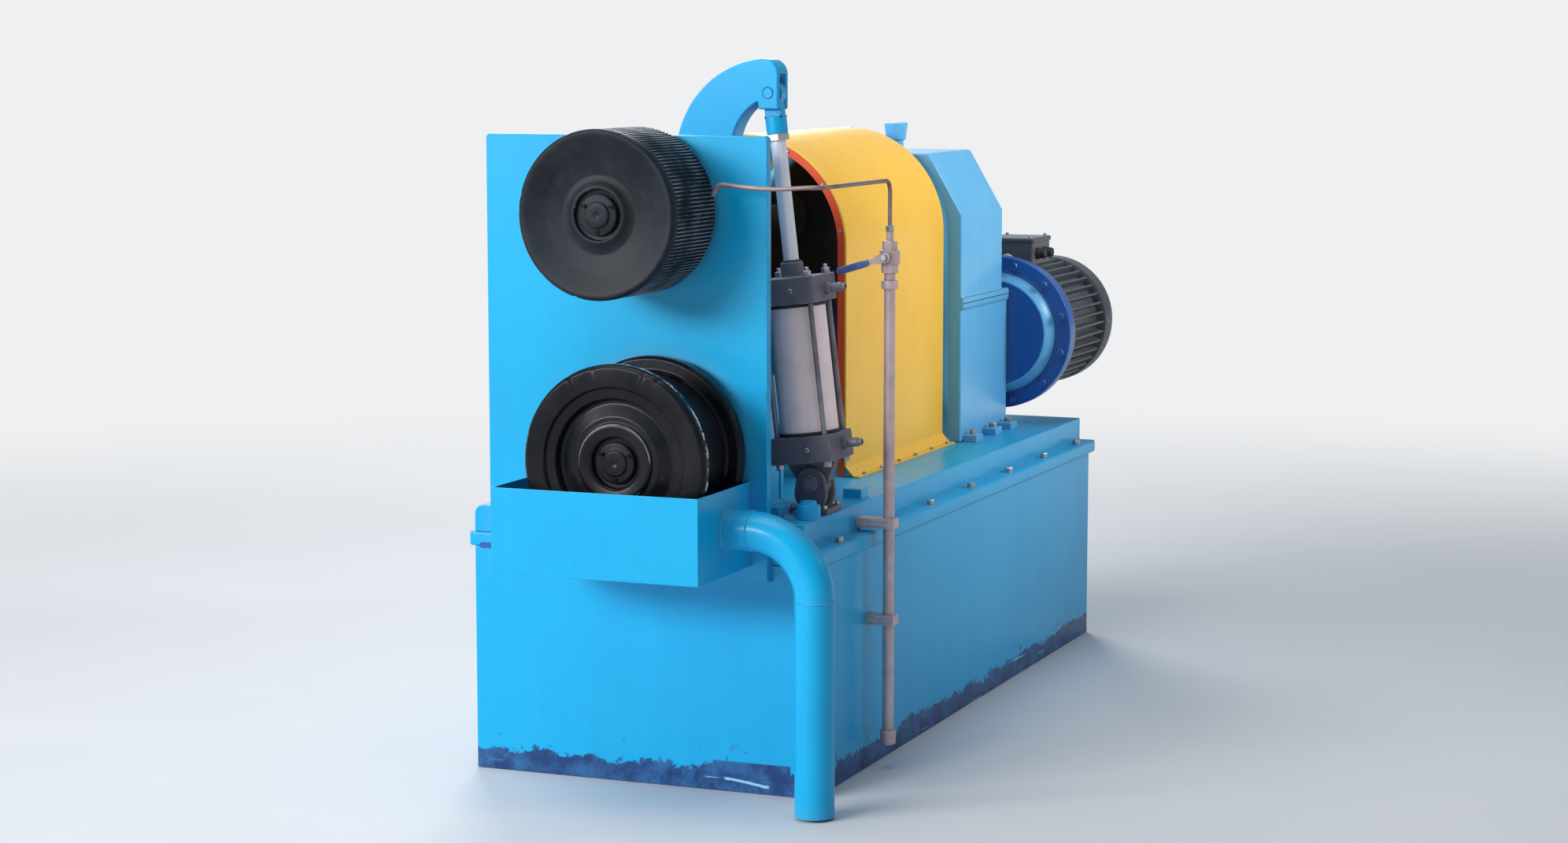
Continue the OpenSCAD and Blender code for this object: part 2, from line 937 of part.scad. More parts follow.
module motor_body() {
  fins = 40;
  color(dark_grey)
    place(motor_axis) {
      along_y(motor_y0, motor_y0 + motor_l, motor_r - 24);
      along_y(motor_y0, motor_y0 + 22, motor_flange_r - 4);
      translate([0, motor_y0, 0])
        for (i = [0 : fins - 1])
          rotate([0, i * 360 / fins, 0])
            block([-3, 16, motor_r - 30], [6, motor_l - 20, 30]);
    }
}

module motor_fan_cover() {
  color(dark_grey)
    place(motor_axis)
      translate([0, motor_y0 + motor_l, 0])
        rotate([-90, 0, 0])
          rotate_extrude()
            polygon([[0, 0], [motor_r + 4, 0], [motor_r + 4, fan_straight], [motor_r - 16, fan_l],
              [0, fan_l]]);
}

module motor_terminal_box() {
  color(dark_grey)
    block([motor_x - 70, motor_y0 + 60, motor_axis[1] + motor_r], [140, 170, 72]);
}

// Drip tray and pipes

drain_y = front_y - drain_ahead;
drain_z = bed_top + drain_h;
tray_right = lower_x + flange_r + tray_gap;
tray_left = tray_right - tray_w;
drain_start = tray_right + 60;
outlet_z = 6;

module drip_tray() {
  y0 = front_y - tray_d;
  z0 = bed_top + tray_rim - tray_h;
  depth = tray_d - plate_t;
  color(blue)
    difference() {
      block([tray_left, y0, z0], [tray_w, depth, tray_h]);
      block([tray_left + tray_t, y0 + tray_t, z0 + tray_t],
        [tray_w - 2 * tray_t, depth - 2 * tray_t, tray_h]);
      translate([tray_right - tray_t - 1, drain_y, drain_z])
        rotate([0, 90, 0])
          cylinder(h = tray_t + 2, r = drain_r - drain_wall);
    }
}

module pipe_ring(r, wall) {
  difference() {
    circle(r = r);
    circle(r = r - wall);
  }
}

module drain_pipe() {
  color(blue) {
    translate([tray_right, drain_y, drain_z])
      rotate([0, 90, 0])
        linear_extrude(height = drain_start - tray_right)
          pipe_ring(drain_r, drain_wall);
    translate([drain_start, drain_y, drain_z - drain_bend])
      rotate([90, 0, 0])
        rotate_extrude(angle = 90)
          translate([drain_bend, 0])
            pipe_ring(drain_r, drain_wall);
    translate([drain_start + drain_bend, drain_y, outlet_z])
      linear_extrude(height = drain_z - drain_bend - outlet_z)
        pipe_ring(drain_r, drain_wall);
  }
}

water_x = base_w / 2 + water_out;
water_y = front_y + water_back;
water_wall = 3;
water_z0 = 60;
valve_z = bed_top + valve_h;
valve_half_l = 38;
clip_h = 24;
low_clip_z = 350;

// Pipe with one clip on the base box and one on the bed
module water_pipe() {
  color([0.72, 0.68, 0.70])
    difference() {
      union() {
        translate([water_x, water_y, water_z0])
          cylinder(h = valve_z - valve_half_l - water_z0, r = water_r);
        for (clip = [[base_w / 2, low_clip_z], [bed_right, base_top + 10]])
          block([clip[0], water_y - 18, clip[1]], [water_x - clip[0] + water_r + 5, 36, clip_h]);
      }
      translate([water_x, water_y, water_z0 - 1])
        cylinder(h = valve_z, r = water_r - water_wall);
    }
}

module ball_valve() {
  color(steel)
    translate([water_x, water_y, valve_z]) {
      translate([0, 0, -valve_half_l])
        cylinder(h = 24, r = 21, $fn = 6);
      translate([0, 0, -16])
        cylinder(h = 32, r = 24);
      translate([0, 0, valve_half_l - 24])
        cylinder(h = 24, r = 19, $fn = 6);
      along_y(-stem_l, -stem_l + 20, 9);
      translate([0, 0, valve_half_l])
        cylinder(h = nozzle_h, r = 9, $fn = 6);
    }
}

stem_l = 34;
nozzle_h = 22;
lever_l = 125;
lever_t = 4;

module valve_lever() {
  color([0.2, 0.3, 0.7])
    translate([water_x, water_y - stem_l, valve_z])
      rotate([0, -lever_drop, 0]) {
        block([-lever_l, -lever_t, -8], [lever_l, lever_t, 16]);
        along_y(-lever_t, 0, 12);
      }
}

// Thin tube that rises from the valve, turns to the front and then across to the upper roll
module spray_tube() {
  spray_z = bed_top + spray_h;
  spray_y = front_y - 100;
  start_z = valve_z + valve_half_l + nozzle_h;
  bend = 30;
  color(steel) {
    translate([water_x, water_y, start_z])
      cylinder(h = spray_z - bend - start_z, r = spray_r);
    translate([water_x, water_y - bend, spray_z - bend])
      rotate([90, 0, 90])
        rotate_extrude(angle = 90)
          translate([bend, 0])
            circle(r = spray_r);
    translate([water_x, spray_y + bend, spray_z])
      rotate([-90, 0, 0])
        cylinder(h = water_y - bend - spray_y - bend, r = spray_r);
    translate([water_x - bend, spray_y + bend, spray_z])
      rotate([0, 0, -90])
        rotate_extrude(angle = 90)
          translate([bend, 0])
            circle(r = spray_r);
    translate([tip_x, spray_y, spray_z])
      rotate([0, 90, 0])
        cylinder(h = water_x - bend - tip_x, r = spray_r);
  }
}

base_box();
base_flange();
bed();
front_plate();
rear_plate();
left_side_plate();
right_rib();
pivot_bearing();
lower_bearing_housing();
lower_bearing_cover();
lower_shaft();
lower_roll();
lower_roll_cap();
lower_coupling();
lower_drive_shaft();
swing_arm();
arm_cover();
arm_fork_pin();
upper_shaft();
upper_roll();
upper_roll_cap();
upper_coupling();
upper_drive_shaft();
clevis_bracket();
clevis_pin();
cylinder_end_cap();
cylinder_barrel();
cylinder_head_cap();
cylinder_tie_rods();
piston_rod();
rod_eye();
coupling_guard();
guard_front_ring();
gearbox();
gearbox_vent();
gearbox_seals();
motor_adapter();
motor_body();
motor_fan_cover();
motor_terminal_box();
drip_tray();
drain_pipe();
water_pipe();
ball_valve();
valve_lever();
spray_tube();
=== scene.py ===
# %% [markdown]
# # A two-roll pinch stand in blue enamel
#
# The real machine is a welded base box with two heavy rolls that stand out in front of a plate, an arm
# with an air cylinder that lifts the upper roll, and a guarded drive behind. The exact solids come from
# the packed model. This script gives them rounded edges and worn finishes, and adds the fasteners,
# welds, fittings and castings that make it look like a machine and not like a drawing.
#
# Everything is in metres. X runs with the bar, Y from the rolls back to the motor, and Z is up.

# %% Load the fixed frame
import json
import math

import bmesh
import bpy
import numpy as np
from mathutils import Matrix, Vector

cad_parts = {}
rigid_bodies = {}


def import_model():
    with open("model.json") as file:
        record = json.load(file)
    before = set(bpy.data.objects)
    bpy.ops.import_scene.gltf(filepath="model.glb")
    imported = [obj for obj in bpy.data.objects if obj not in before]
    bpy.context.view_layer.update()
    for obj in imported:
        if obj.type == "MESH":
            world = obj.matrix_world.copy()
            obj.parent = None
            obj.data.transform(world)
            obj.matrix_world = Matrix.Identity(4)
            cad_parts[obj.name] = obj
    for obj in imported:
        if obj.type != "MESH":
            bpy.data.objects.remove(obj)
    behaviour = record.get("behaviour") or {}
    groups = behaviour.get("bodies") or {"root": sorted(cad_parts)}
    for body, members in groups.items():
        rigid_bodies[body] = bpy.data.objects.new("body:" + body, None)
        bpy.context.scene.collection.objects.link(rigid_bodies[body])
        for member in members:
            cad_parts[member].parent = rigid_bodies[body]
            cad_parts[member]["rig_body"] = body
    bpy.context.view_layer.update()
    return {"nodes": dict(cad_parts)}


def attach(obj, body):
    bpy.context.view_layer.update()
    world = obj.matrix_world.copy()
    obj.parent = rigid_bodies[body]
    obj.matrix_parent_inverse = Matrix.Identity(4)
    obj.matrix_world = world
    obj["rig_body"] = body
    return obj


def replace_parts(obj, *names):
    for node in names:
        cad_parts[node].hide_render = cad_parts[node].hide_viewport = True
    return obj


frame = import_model()

# %% [markdown]
# ## Places that many pieces share
#
# The solids already hold these sizes, so they are written down once here. The front of the base, the
# top of the bed, and the axes that everything turns about, are enough to place every small piece.

# %% Shared places
FRONT, BED_TOP = -1.100, 0.636
FLANGE_TOP, FLANGE_LOW = BED_TOP - 0.064, BED_TOP - 0.099
PLATE_FACE = FRONT - 0.025
BASE_RIGHT, FLANGE_RIGHT = 0.434, 0.449
BED_LEFT, BED_RIGHT = -0.434, 0.406
PIVOT = np.array([-0.258, BED_TOP + 0.611])
UPPER = np.array([0.0225, BED_TOP + 0.708])
LOWER = np.array([0.062, BED_TOP + 0.157])
ROD_PIN = np.array([0.250, BED_TOP + 0.971])
FOOT_PIN = np.array([0.356, BED_TOP + 0.071])
MOTOR = np.array([0.226, BED_TOP + 0.266])
RAM_Y = FRONT + 0.200
ROLL_FRONT = FRONT - 0.283
GUARD_X, ARCH_Z = -0.059, BED_TOP + 0.581
GEAR_FRONT, GEAR_BACK, HALF_BACK = 0.420, 0.780, 0.830
MOTOR_START = 0.910
WATER = np.array([0.484, -0.750])
VALVE_Z = BED_TOP + 0.589
UP, BACK, OUT, RIGHT, LEFT = (0, 0, 1), (0, 1, 0), (0, -1, 0), (1, 0, 0), (-1, 0, 0)
luck = np.random.default_rng(7)
print("pivot", PIVOT, "upper roll", UPPER, "lower roll", LOWER)

# %% [markdown]
# ## The camera first
#
# The photographer stood to the right of the stand, about seven metres off, at eye height. The camera
# keeps that place and turns to face the stand, and a longer lens fills the frame with it.

# %% Camera
def aim(name, data, place, target):
    """A new camera or lamp at a place, turned to face a target."""
    obj = bpy.data.objects.new(name, data)
    bpy.context.scene.collection.objects.link(obj)
    obj.location = place
    obj.rotation_mode = "QUATERNION"
    obj.rotation_quaternion = (Vector(target) - Vector(place)).to_track_quat("-Z", "Y")
    return obj


camera = aim("camera", bpy.data.cameras.new("camera"), (2.927, -7.460, 1.702), (0.055, -0.35, 0.772))
camera.data.lens = 70.0
camera.data.sensor_width = 36.0
camera.data.clip_end = 200.0
bpy.context.scene.camera = camera
print("camera at", [round(c, 3) for c in camera.location])

# %% [markdown]
# ## Numbers that vary over a surface
#
# A shader is mostly sums: more dust where a face looks up, less paint near an edge. A Field stands for
# one such number or colour, so that a sum can be written as a sum and still becomes nodes.

# %% Nodes and fields
def put(tree, kind, inputs=None, **settings):
    """Adds one shader node, sets its settings, and wires or sets its inputs."""
    node = tree.nodes.new("ShaderNode" + kind)
    for key, value in settings.items():
        setattr(node, key, value)
    for key, value in (inputs or {}).items():
        value = value.outputs[0] if isinstance(value, bpy.types.Node) else getattr(value, "socket", value)
        if isinstance(value, bpy.types.NodeSocket):
            tree.links.new(value, node.inputs[key])
        else:
            node.inputs[key].default_value = value
    return node


def empty_tree(owner):
    owner.use_nodes = True
    owner.node_tree.nodes.clear()
    return owner.node_tree


class Field:
    """A number or colour that varies over a surface. Sums and products of numbers become Math nodes."""

    def __init__(self, tree, socket):
        self.tree, self.socket = tree, socket

    def then(self, kind, inputs, **settings):
        return Field(self.tree, put(self.tree, kind, inputs, **settings).outputs[0])

    def math(self, operation, a, b=0.0):
        return self.then("Math", {0: a, 1: b}, operation=operation)

    def __add__(self, other):
        return self.math("ADD", self, other)

    def __sub__(self, other):
        return self.math("SUBTRACT", self, other)

    def __rsub__(self, other):
        return self.math("SUBTRACT", other, self)

    def __mul__(self, other):
        return self.math("MULTIPLY", self, other)

    def __or__(self, other):
        """The larger of the two, so masks join."""
        return self.math("MAXIMUM", self, other)

    def root(self):
        return self.math("SQRT", self)

    def held(self):
        """The same number, held between zero and one."""
        self.socket.node.use_clamp = True
        return self

    def band(self, low, high):
        """Zero below low, one above high, smooth between."""
        return self.then("MapRange", {"Value": self, "From Min": low, "From Max": high},
                         interpolation_type="SMOOTHSTEP")

    def within(self, low, high, soft):
        """One between two limits, with soft ends."""
        return self.band(low, low + soft) * (1.0 - self.band(high - soft, high))

    def mix(self, under, over):
        """One colour over another where this number is one."""
        under, over = (c if isinstance(c, Field) else (*c, 1.0) for c in (under, over))
        return self.then("MixRGB", {0: self, 1: under, 2: over})


def coordinates(tree):
    """The piece's own X, Y and Z as fields, so a pattern rides with the piece."""
    parts = put(tree, "SeparateXYZ", {0: put(tree, "TexCoord").outputs["Object"]})
    return [Field(tree, parts.outputs[axis]) for axis in "XYZ"]


def noise(tree, scale, detail=4.0, rough=0.55, stretch=None):
    """Noise on the piece's own coordinates."""
    place = Field(tree, put(tree, "TexCoord").outputs["Object"])
    if stretch:
        place = place.then("Mapping", {"Vector": place, "Scale": stretch})
    return place.then("TexNoise", {"Vector": place, "Scale": scale, "Detail": detail, "Roughness": rough})


print("a field knows", [name for name in vars(Field) if name[0] != "_"])

# %% [markdown]
# ## Floor and light
#
# A plain pale floor melts into a pale surround, so nothing competes with the stand. The key is a long low
# strip in front and to the left, like a hall's open side, so the tray throws a soft shadow under itself and
# the right side stays deep. One lamp hangs overhead, a narrow one picks out the gearbox from the right, and
# the last lights the back. The surround adds even light.

# %% Floor and lamps
PALE = (0.86, 0.87, 0.88, 1.0)


def link_mesh(name, verts, faces):
    """A new mesh object at the origin."""
    mesh = bpy.data.meshes.new(name)
    mesh.from_pydata(verts, [], faces)
    obj = bpy.data.objects.new(name, mesh)
    bpy.context.scene.collection.objects.link(obj)
    return obj


def around(count):
    """Angles evenly round a full turn."""
    return np.linspace(0, 2 * math.pi, count, endpoint=False)


def light_surround():
    """The world: an even cool light, brighter in mirrors, and a pale tone where the camera sees it."""
    world = bpy.data.worlds.new("hall_light")
    bpy.context.scene.world = world
    tree = empty_tree(world)
    ray = put(tree, "LightPath")
    strength = put(tree, "MapRange", {"Value": ray.outputs["Is Glossy Ray"], "To Min": 0.27, "To Max": 0.45})
    even = put(tree, "Background", {"Color": (0.64, 0.80, 1.0, 1.0), "Strength": strength})
    pale = put(tree, "Background", {"Color": PALE, "Strength": 1.0})
    seen = put(tree, "MixShader", {0: ray.outputs["Is Camera Ray"], 1: even, 2: pale})
    put(tree, "OutputWorld", {0: seen})


def lay_floor(reach=60.0, near=2.2, far=7.0):
    """A wide disc: a true floor near the stand, which takes its shadow, and the surround's tone far off."""
    angle = around(96)
    rim = np.stack([np.cos(angle), np.sin(angle), 0 * angle], 1) * reach
    floor = link_mesh("floor", rim.tolist(), [list(range(96))])
    material = bpy.data.materials.new("pale_floor")
    tree = empty_tree(material)
    place = put(tree, "TexCoord").outputs["Object"]
    distance = put(tree, "VectorMath", {0: place}, operation="LENGTH").outputs["Value"]
    tone = noise(tree, 2.2, 5.0, 0.5).mix((0.68, 0.69, 0.70), (0.74, 0.74, 0.74))
    true_floor = put(tree, "BsdfPrincipled", {"Base Color": tone, "Roughness": 0.7})
    far_tone = put(tree, "Emission", {"Color": PALE, "Strength": 1.0})
    mix = put(tree, "MixShader", {0: Field(tree, distance).band(near, far), 1: true_floor, 2: far_tone})
    put(tree, "OutputMaterial", {0: mix})
    floor.data.materials.append(material)


def hang_lamp(name, place, target, wide, high, watts, spread=180):
    """A soft lamp that faces a target; a small spread in degrees keeps its light in a narrow cone."""
    data = bpy.data.lights.new(name, "AREA")
    data.shape, data.size, data.size_y = "RECTANGLE", wide, high
    data.energy, data.spread = watts, math.radians(spread)
    aim(name, data, place, target)


light_surround()
lay_floor()
hang_lamp("key_lamp", (-4.6, -9.0, 3.6), (0, -0.6, 0.7), 6.0, 2.0, 860)
hang_lamp("top_lamp", (-0.6, -1.4, 5.4), (0, -0.4, 0.8), 3.6, 3.6, 130)
hang_lamp("side_lamp", (3.6, 1.3, 2.9), (0.25, 0.40, 1.35), 1.2, 1.2, 8, 40)
hang_lamp("back_lamp", (-3.5, 6.0, 4.5), (0, 0.4, 0.9), 3.0, 3.0, 240)
bpy.context.scene.view_settings.view_transform = "Standard"

# %% [markdown]
# ## Effects that many finishes share
#
# Worn paint is the same few effects in other amounts: edges rubbed through, dust that settles on tops,
# dirt and painted shade in corners, a skin that is never quite flat, and a tone that drifts over a metre.
# Each is one node group with its own sockets, built once and used by every paint and metal below.

# %% Node groups
def group(build, **takes):
    """A node group named after its builder, with a number socket for each value that the builder takes."""
    tree = bpy.data.node_groups.new(build.__name__, "ShaderNodeTree")
    for label, start in takes.items():
        socket = tree.interface.new_socket(name=label, in_out="INPUT", socket_type="NodeSocketFloat")
        socket.default_value = start
    tree.interface.new_socket(name="Result", in_out="OUTPUT", socket_type="NodeSocketFloat")
    goes_in = tree.nodes.new("NodeGroupInput")
    result = build(tree, *[Field(tree, goes_in.outputs[label]) for label in takes])
    tree.links.new(result.socket, tree.nodes.new("NodeGroupOutput").inputs[0])


def edge_wear(tree, reach, scale, amount):
    """One where the surface turns sharply within reach and a broken noise lets the paint go."""
    soft = put(tree, "Bevel", {"Radius": reach}, samples=4)
    sharp = put(tree, "NewGeometry").outputs["Normal"]
    same = put(tree, "VectorMath", {0: soft, 1: sharp}, operation="DOT_PRODUCT").outputs["Value"]
    broken = noise(tree, scale, 5.0, 0.65) - (0.82 - amount * 0.5)
    return (1.0 - Field(tree, same)).band(0.004, 0.05) * broken.band(0.0, 0.05)


def dust_and_corner_shade(tree, top, corner, reach):
    """Dust on faces that look up, broken by noise, and dirt in corners that also paints their shade."""
    normal = put(tree, "SeparateXYZ", {0: put(tree, "NewGeometry").outputs["Normal"]}).outputs["Z"]
    # Less open sky in a corner brings in the corner colour: dirt there, and painted shade.
    open_sky = put(tree, "AmbientOcclusion", {"Distance": reach}, samples=4).outputs["AO"]
    laid = Field(tree, normal).band(0.35, 0.95) * top * noise(tree, 9.0, 6.0, 0.65).band(0.30, 0.75)
    return (laid + (1.0 - Field(tree, open_sky)) * corner).held()


def paint_skin(tree, peel, wave):
    """Height of a brushed or sprayed skin: fine orange peel over long waves in the plate."""
    return noise(tree, 340.0, 2.0) * peel + noise(tree, 5.0, 2.0) * wave


def tone_drift(tree, streak):
    """A slow drift of tone over a metre, with faint streaks that run down the faces."""
    runs = noise(tree, 26.0, 3.0, 0.6, (1.0, 1.0, 0.06))
    return runs.then("Mix", {"Factor": streak, "A": noise(tree, 2.6, 4.0, 0.6), "B": runs})


group(edge_wear, Reach=0.003, Scale=60.0, Amount=0.5)
group(dust_and_corner_shade, Top=0.5, Corner=0.5, Reach=0.05)
group(paint_skin, Peel=0.4, Wave=0.6)
group(tone_drift, Streak=0.4)
print("groups", sorted(g.name for g in bpy.data.node_groups))

finishes = {}


def use(tree, name, **values):
    """Places one of the shared groups in a material, with this material's own values."""
    node = tree.nodes.new("ShaderNodeGroup")
    node.node_tree = bpy.data.node_groups[name]
    for key, value in values.items():
        node.inputs[key].default_value = value
    return Field(tree, node.outputs[0])


def new_finish(name, slot, roughness, metallic=0.0, **shader):
    """A new material with a Principled shader whose even values sit on its own sockets."""
    material = bpy.data.materials.new(name)
    tree = empty_tree(material)
    base = put(tree, "BsdfPrincipled", {"Roughness": roughness, "Metallic": metallic, **shader})
    put(tree, "OutputMaterial", {0: base})
    finishes[name] = (material, slot)
    return tree, base


def cover(base, tone, rough, height, strength, distance=0.001):
    """Wires a finish's colour, its roughness where it varies, and its fine height into its shader."""
    bump = height.then("Bump", {"Height": height, "Strength": strength, "Distance": distance})
    for key, value in (("Base Color", tone), ("Roughness", rough), ("Normal", bump)):
        if value:
            tone.tree.links.new(value.socket, base.inputs[key])

# %% [markdown]
# ## Enamel paints
#
# Brushed and sprayed enamel on steel: a clear bright colour under a thin gloss, a little darker where
# the coat is thin, chalky where dust lies, greyed in corners by dirt and painted shade, and rubbed to a dark
# primer along the edges. The blue near the floor has flaked, and an older, deeper blue shows there.

# %% Paints
def enamel(name, slot, main, thin, chipped, gloss=0.32, dust=0.30, wear=0.45, coat=0.10, marks=None):
    """Enamel: main colour drifting to its thin tone, dust, dirt and painted shade in corners, rubbed edges,
    and the marks of its own place.
    """
    tree, base = new_finish(name, slot, gloss, **{"Coat Weight": coat, "Coat Roughness": 0.12,
                                                  "Specular IOR Level": 0.26})
    drift = use(tree, "tone_drift", Streak=0.35)
    # This mask is dust on tops, and dirt with painted shade in corners.
    dust_and_shade = use(tree, "dust_and_corner_shade", Top=dust, Corner=0.42, Reach=0.045)
    tone = (dust_and_shade * 0.6).mix(drift.band(0.30, 0.72).mix(main, thin), (0.30, 0.33, 0.35))
    if marks:
        tone = marks(tree, tone)
    tone = use(tree, "edge_wear", Reach=0.0035, Scale=38.0, Amount=wear).mix(tone, chipped)
    rough = (drift * 0.12 + (gloss - 0.05) + dust_and_shade * 0.35).held()
    cover(base, tone, rough, use(tree, "paint_skin", Peel=0.22, Wave=0.9), 0.35)


def old_paint_mask(tree):
    """One in a ragged band along the floor, in flecks just over it, and in one squared patch at the front."""
    x, y, z = coordinates(tree)
    ragged_top = noise(tree, 10.0, 7.0, 0.74, (1.0, 1.0, 1.5)) * 0.105 + 0.004
    flecks = noise(tree, 34.0, 4.0, 0.6).band(0.64, 0.68) * (0.125 - z).band(0.0, 0.05)
    patch = x.within(0.178, 0.376, 0.004) * z.within(-0.01, 0.074, 0.004) * y.within(-1.2, -1.09, 0.002)
    return (ragged_top - z).band(0.0, 0.005) | flecks | patch


def pale_scrape_mask(tree):
    """One on thin scrapes over the floor where a truck's fork has rubbed, and on one long one in the patch.
    The long one's height falls with X, so its mask is a thin band of height plus 0.118 times X."""
    x, _, z = coordinates(tree)
    thin = noise(tree, 16.0, 4.0, 0.6, (0.25, 0.25, 9.0)).band(0.66, 0.70) * (0.075 - z).band(0.0, 0.02)
    level = z + x * 0.118 + noise(tree, 30.0, 3.0) * 0.008
    return thin | level.within(0.056, 0.0645, 0.002) * x.within(0.205, 0.325, 0.01)


def foot_marks(tree, tone):
    """The older paint under the flaked foot, from deep to middle blue, and the scrapes over it."""
    deep = noise(tree, 17.0, 5.0, 0.7).band(0.36, 0.66).mix((0.008, 0.042, 0.150), (0.028, 0.125, 0.310))
    return pale_scrape_mask(tree).mix(old_paint_mask(tree).mix(tone, deep), (0.30, 0.58, 0.80))


def shade_inside_guard(tree, tone):
    """Painted shade on the face inside the guard: brown black round the shafts, deep blue lower down."""
    x, y, z = coordinates(tree)
    rise, side = (z - ARCH_Z) | 0.0, x - GUARD_X
    reach = (side * side + rise * rise).root()
    face = (1.0 - reach.band(0.240, 0.258)) * y.within(GEAR_FRONT - 0.1, GEAR_FRONT + 0.004, 0.001)
    # Both tones paint the shade under the guard's arch.
    guard_shade = z.band(BED_TOP + 0.27, BED_TOP + 0.40).mix((0.010, 0.060, 0.190), (0.022, 0.014, 0.013))
    return face.mix(tone, guard_shade)


SKY, SKY_THIN = (0.002, 0.405, 0.730), (0.002, 0.350, 0.670)
PRIMER = (0.060, 0.075, 0.090)
enamel("sky_blue", "blue_paint", SKY, SKY_THIN, PRIMER)
enamel("sky_blue_foot", "blue_paint", SKY, SKY_THIN, PRIMER, marks=foot_marks)
enamel("drive_blue", "blue_paint", (0.135, 0.460, 0.730), (0.100, 0.390, 0.670), PRIMER, dust=0.45,
       marks=shade_inside_guard)
enamel("deep_blue", "deep_blue_paint", (0.012, 0.105, 0.390), (0.010, 0.085, 0.320), PRIMER, 0.30)
enamel("guard_yellow", "guard_yellow", (0.900, 0.530, 0.050), (0.850, 0.460, 0.036), (0.30, 0.12, 0.03),
       0.38, 0.15)
enamel("guard_orange", "guard_orange", (0.730, 0.075, 0.014), (0.620, 0.055, 0.012), (0.12, 0.04, 0.02),
       0.40, 0.15)
enamel("motor_grey", "motor_grey", (0.085, 0.090, 0.100), (0.065, 0.070, 0.080), (0.24, 0.24, 0.24),
       0.45, 0.35)
enamel("grey_casting", "dark_casting", (0.150, 0.140, 0.165), (0.110, 0.104, 0.128), (0.34, 0.33, 0.35),
       0.50, 0.30, 0.6, 0.05)
print("paints", sorted(finishes))

# %% [markdown]
# ## Metals
#
# The rolls are dark iron with a skin of scale, dull outside and polished in bands where the bar rubs. Their
# flutes are near black with scale and painted shade, their rubbed flute tips are also painted glints, and the
# pale spots on the lower flange and its hub ring are painted glints. The barrel is drawn alloy with fine
# lines along it, its pale pink partly the hot bar's glow painted on; the rod is hard chrome, the bolts are
# zinc plated and the water pipe is galvanised and has gone a dull pinkish grey.

# %% Metal finishes
def from_axis(tree, axis):
    """Distance from a roll's axis, and the station along it counted from the roll's front face."""
    x, y, z = coordinates(tree)
    x, z = x - float(axis[0]), z - float(axis[1])
    return (x * x + z * z).root(), y - ROLL_FRONT


def fluted_rim(tree, tone):
    """Flutes packed with scale and near black as painted shade, and flute tips that the bar has rubbed pale,
    which also paints their glints.
    """
    reach, along = from_axis(tree, UPPER)
    fluted = along.band(0.0235, 0.0245)
    # Near black in the flutes is scale and painted shade; the pale tips are rubbed metal and painted glints.
    groove = reach.band(0.1835, 0.1850) * fluted
    pale_tip_and_glint = reach.band(0.1882, 0.1891) * fluted * noise(tree, 9.0, 3.0, 0.6).band(0.34, 0.60)
    return (pale_tip_and_glint * 0.65).mix((groove * 0.85).mix(tone, (0.005, 0.005, 0.008)), (0.32, 0.32, 0.35))


def flange_glints(tree, tone):
    """Painted glints: pale spots near the rear edge of the front flange's rim, and a painted highlight ring
    on the raised hub.
    """
    reach, along = from_axis(tree, LOWER)
    edge = along.within(0.017, 0.030, 0.003) * reach.band(0.2165, 0.2180)
    # The pale spots stand for glints on the rim and the hub ring for a highlight: both are painted light.
    glint = edge * noise(tree, 60.0, 3.0, 0.6).band(0.50, 0.56)
    hub = reach.within(0.0845, 0.0895, 0.002) * noise(tree, 9.0, 2.0).band(0.48, 0.60)
    return (glint | hub * 0.25).mix(tone, (0.80, 0.79, 0.80))


def roll_iron(name, dark, grey, gloss, marks):
    """Scaled iron: near black, greyer where scale has rubbed, with this roll's own marks and rust spots."""
    tree, base = new_finish(name, "roll_black", gloss, 0.08, **{"Specular IOR Level": 0.17})
    cloud, fine = noise(tree, 7.0, 7.0, 0.68), noise(tree, 130.0, 3.0, 0.6)
    tone = (fine.band(0.56, 0.74) * 0.35).mix(cloud.band(0.35, 0.75).mix(dark, grey), grey)
    rusty = noise(tree, 21.0, 5.0, 0.7).band(0.705, 0.735).mix(tone, (0.20, 0.055, 0.016))
    worn = use(tree, "edge_wear", Reach=0.002, Scale=55.0, Amount=0.40)
    tone = worn.mix(marks(tree, rusty), (0.34, 0.31, 0.30))
    tone = (use(tree, "dust_and_corner_shade", Top=0.35, Corner=0.0, Reach=0.03) * 0.4).mix(tone, (0.12, 0.12, 0.13))
    cover(base, tone, (cloud * 0.25 + (gloss - 0.08)).held(), cloud * 0.5 + fine * 0.35, 0.45, 0.0012)


def bare_metal(name, slot, tone, thin, gloss, stretch, scale, metallic=1.0, corner_dirt_and_shade=0.4, depth=0.25):
    """Bare or plated metal: fine lines along one way, drifting gloss, and a dark tone in its corners that is
    dirt and painted shade.
    """
    tree, base = new_finish(name, slot, gloss, metallic)
    lines = noise(tree, scale, 4.0, 0.6, stretch)
    drifting = noise(tree, 14.0, 4.0, 0.6).band(0.35, 0.70).mix(tone, thin)
    clean = (lines.band(0.45, 0.80) * 0.4).mix(drifting, thin)
    # Dust on tops, and a dark tone in corners that paints their shade as well as dirt.
    dust_and_shade = use(tree, "dust_and_corner_shade", Top=0.20, Corner=corner_dirt_and_shade, Reach=0.02)
    rough = (lines * 0.18 + (gloss - 0.06) + dust_and_shade * 0.3).held()
    cover(base, dust_and_shade.mix(clean, (0.10, 0.09, 0.09)), rough, lines, depth, 0.0004)


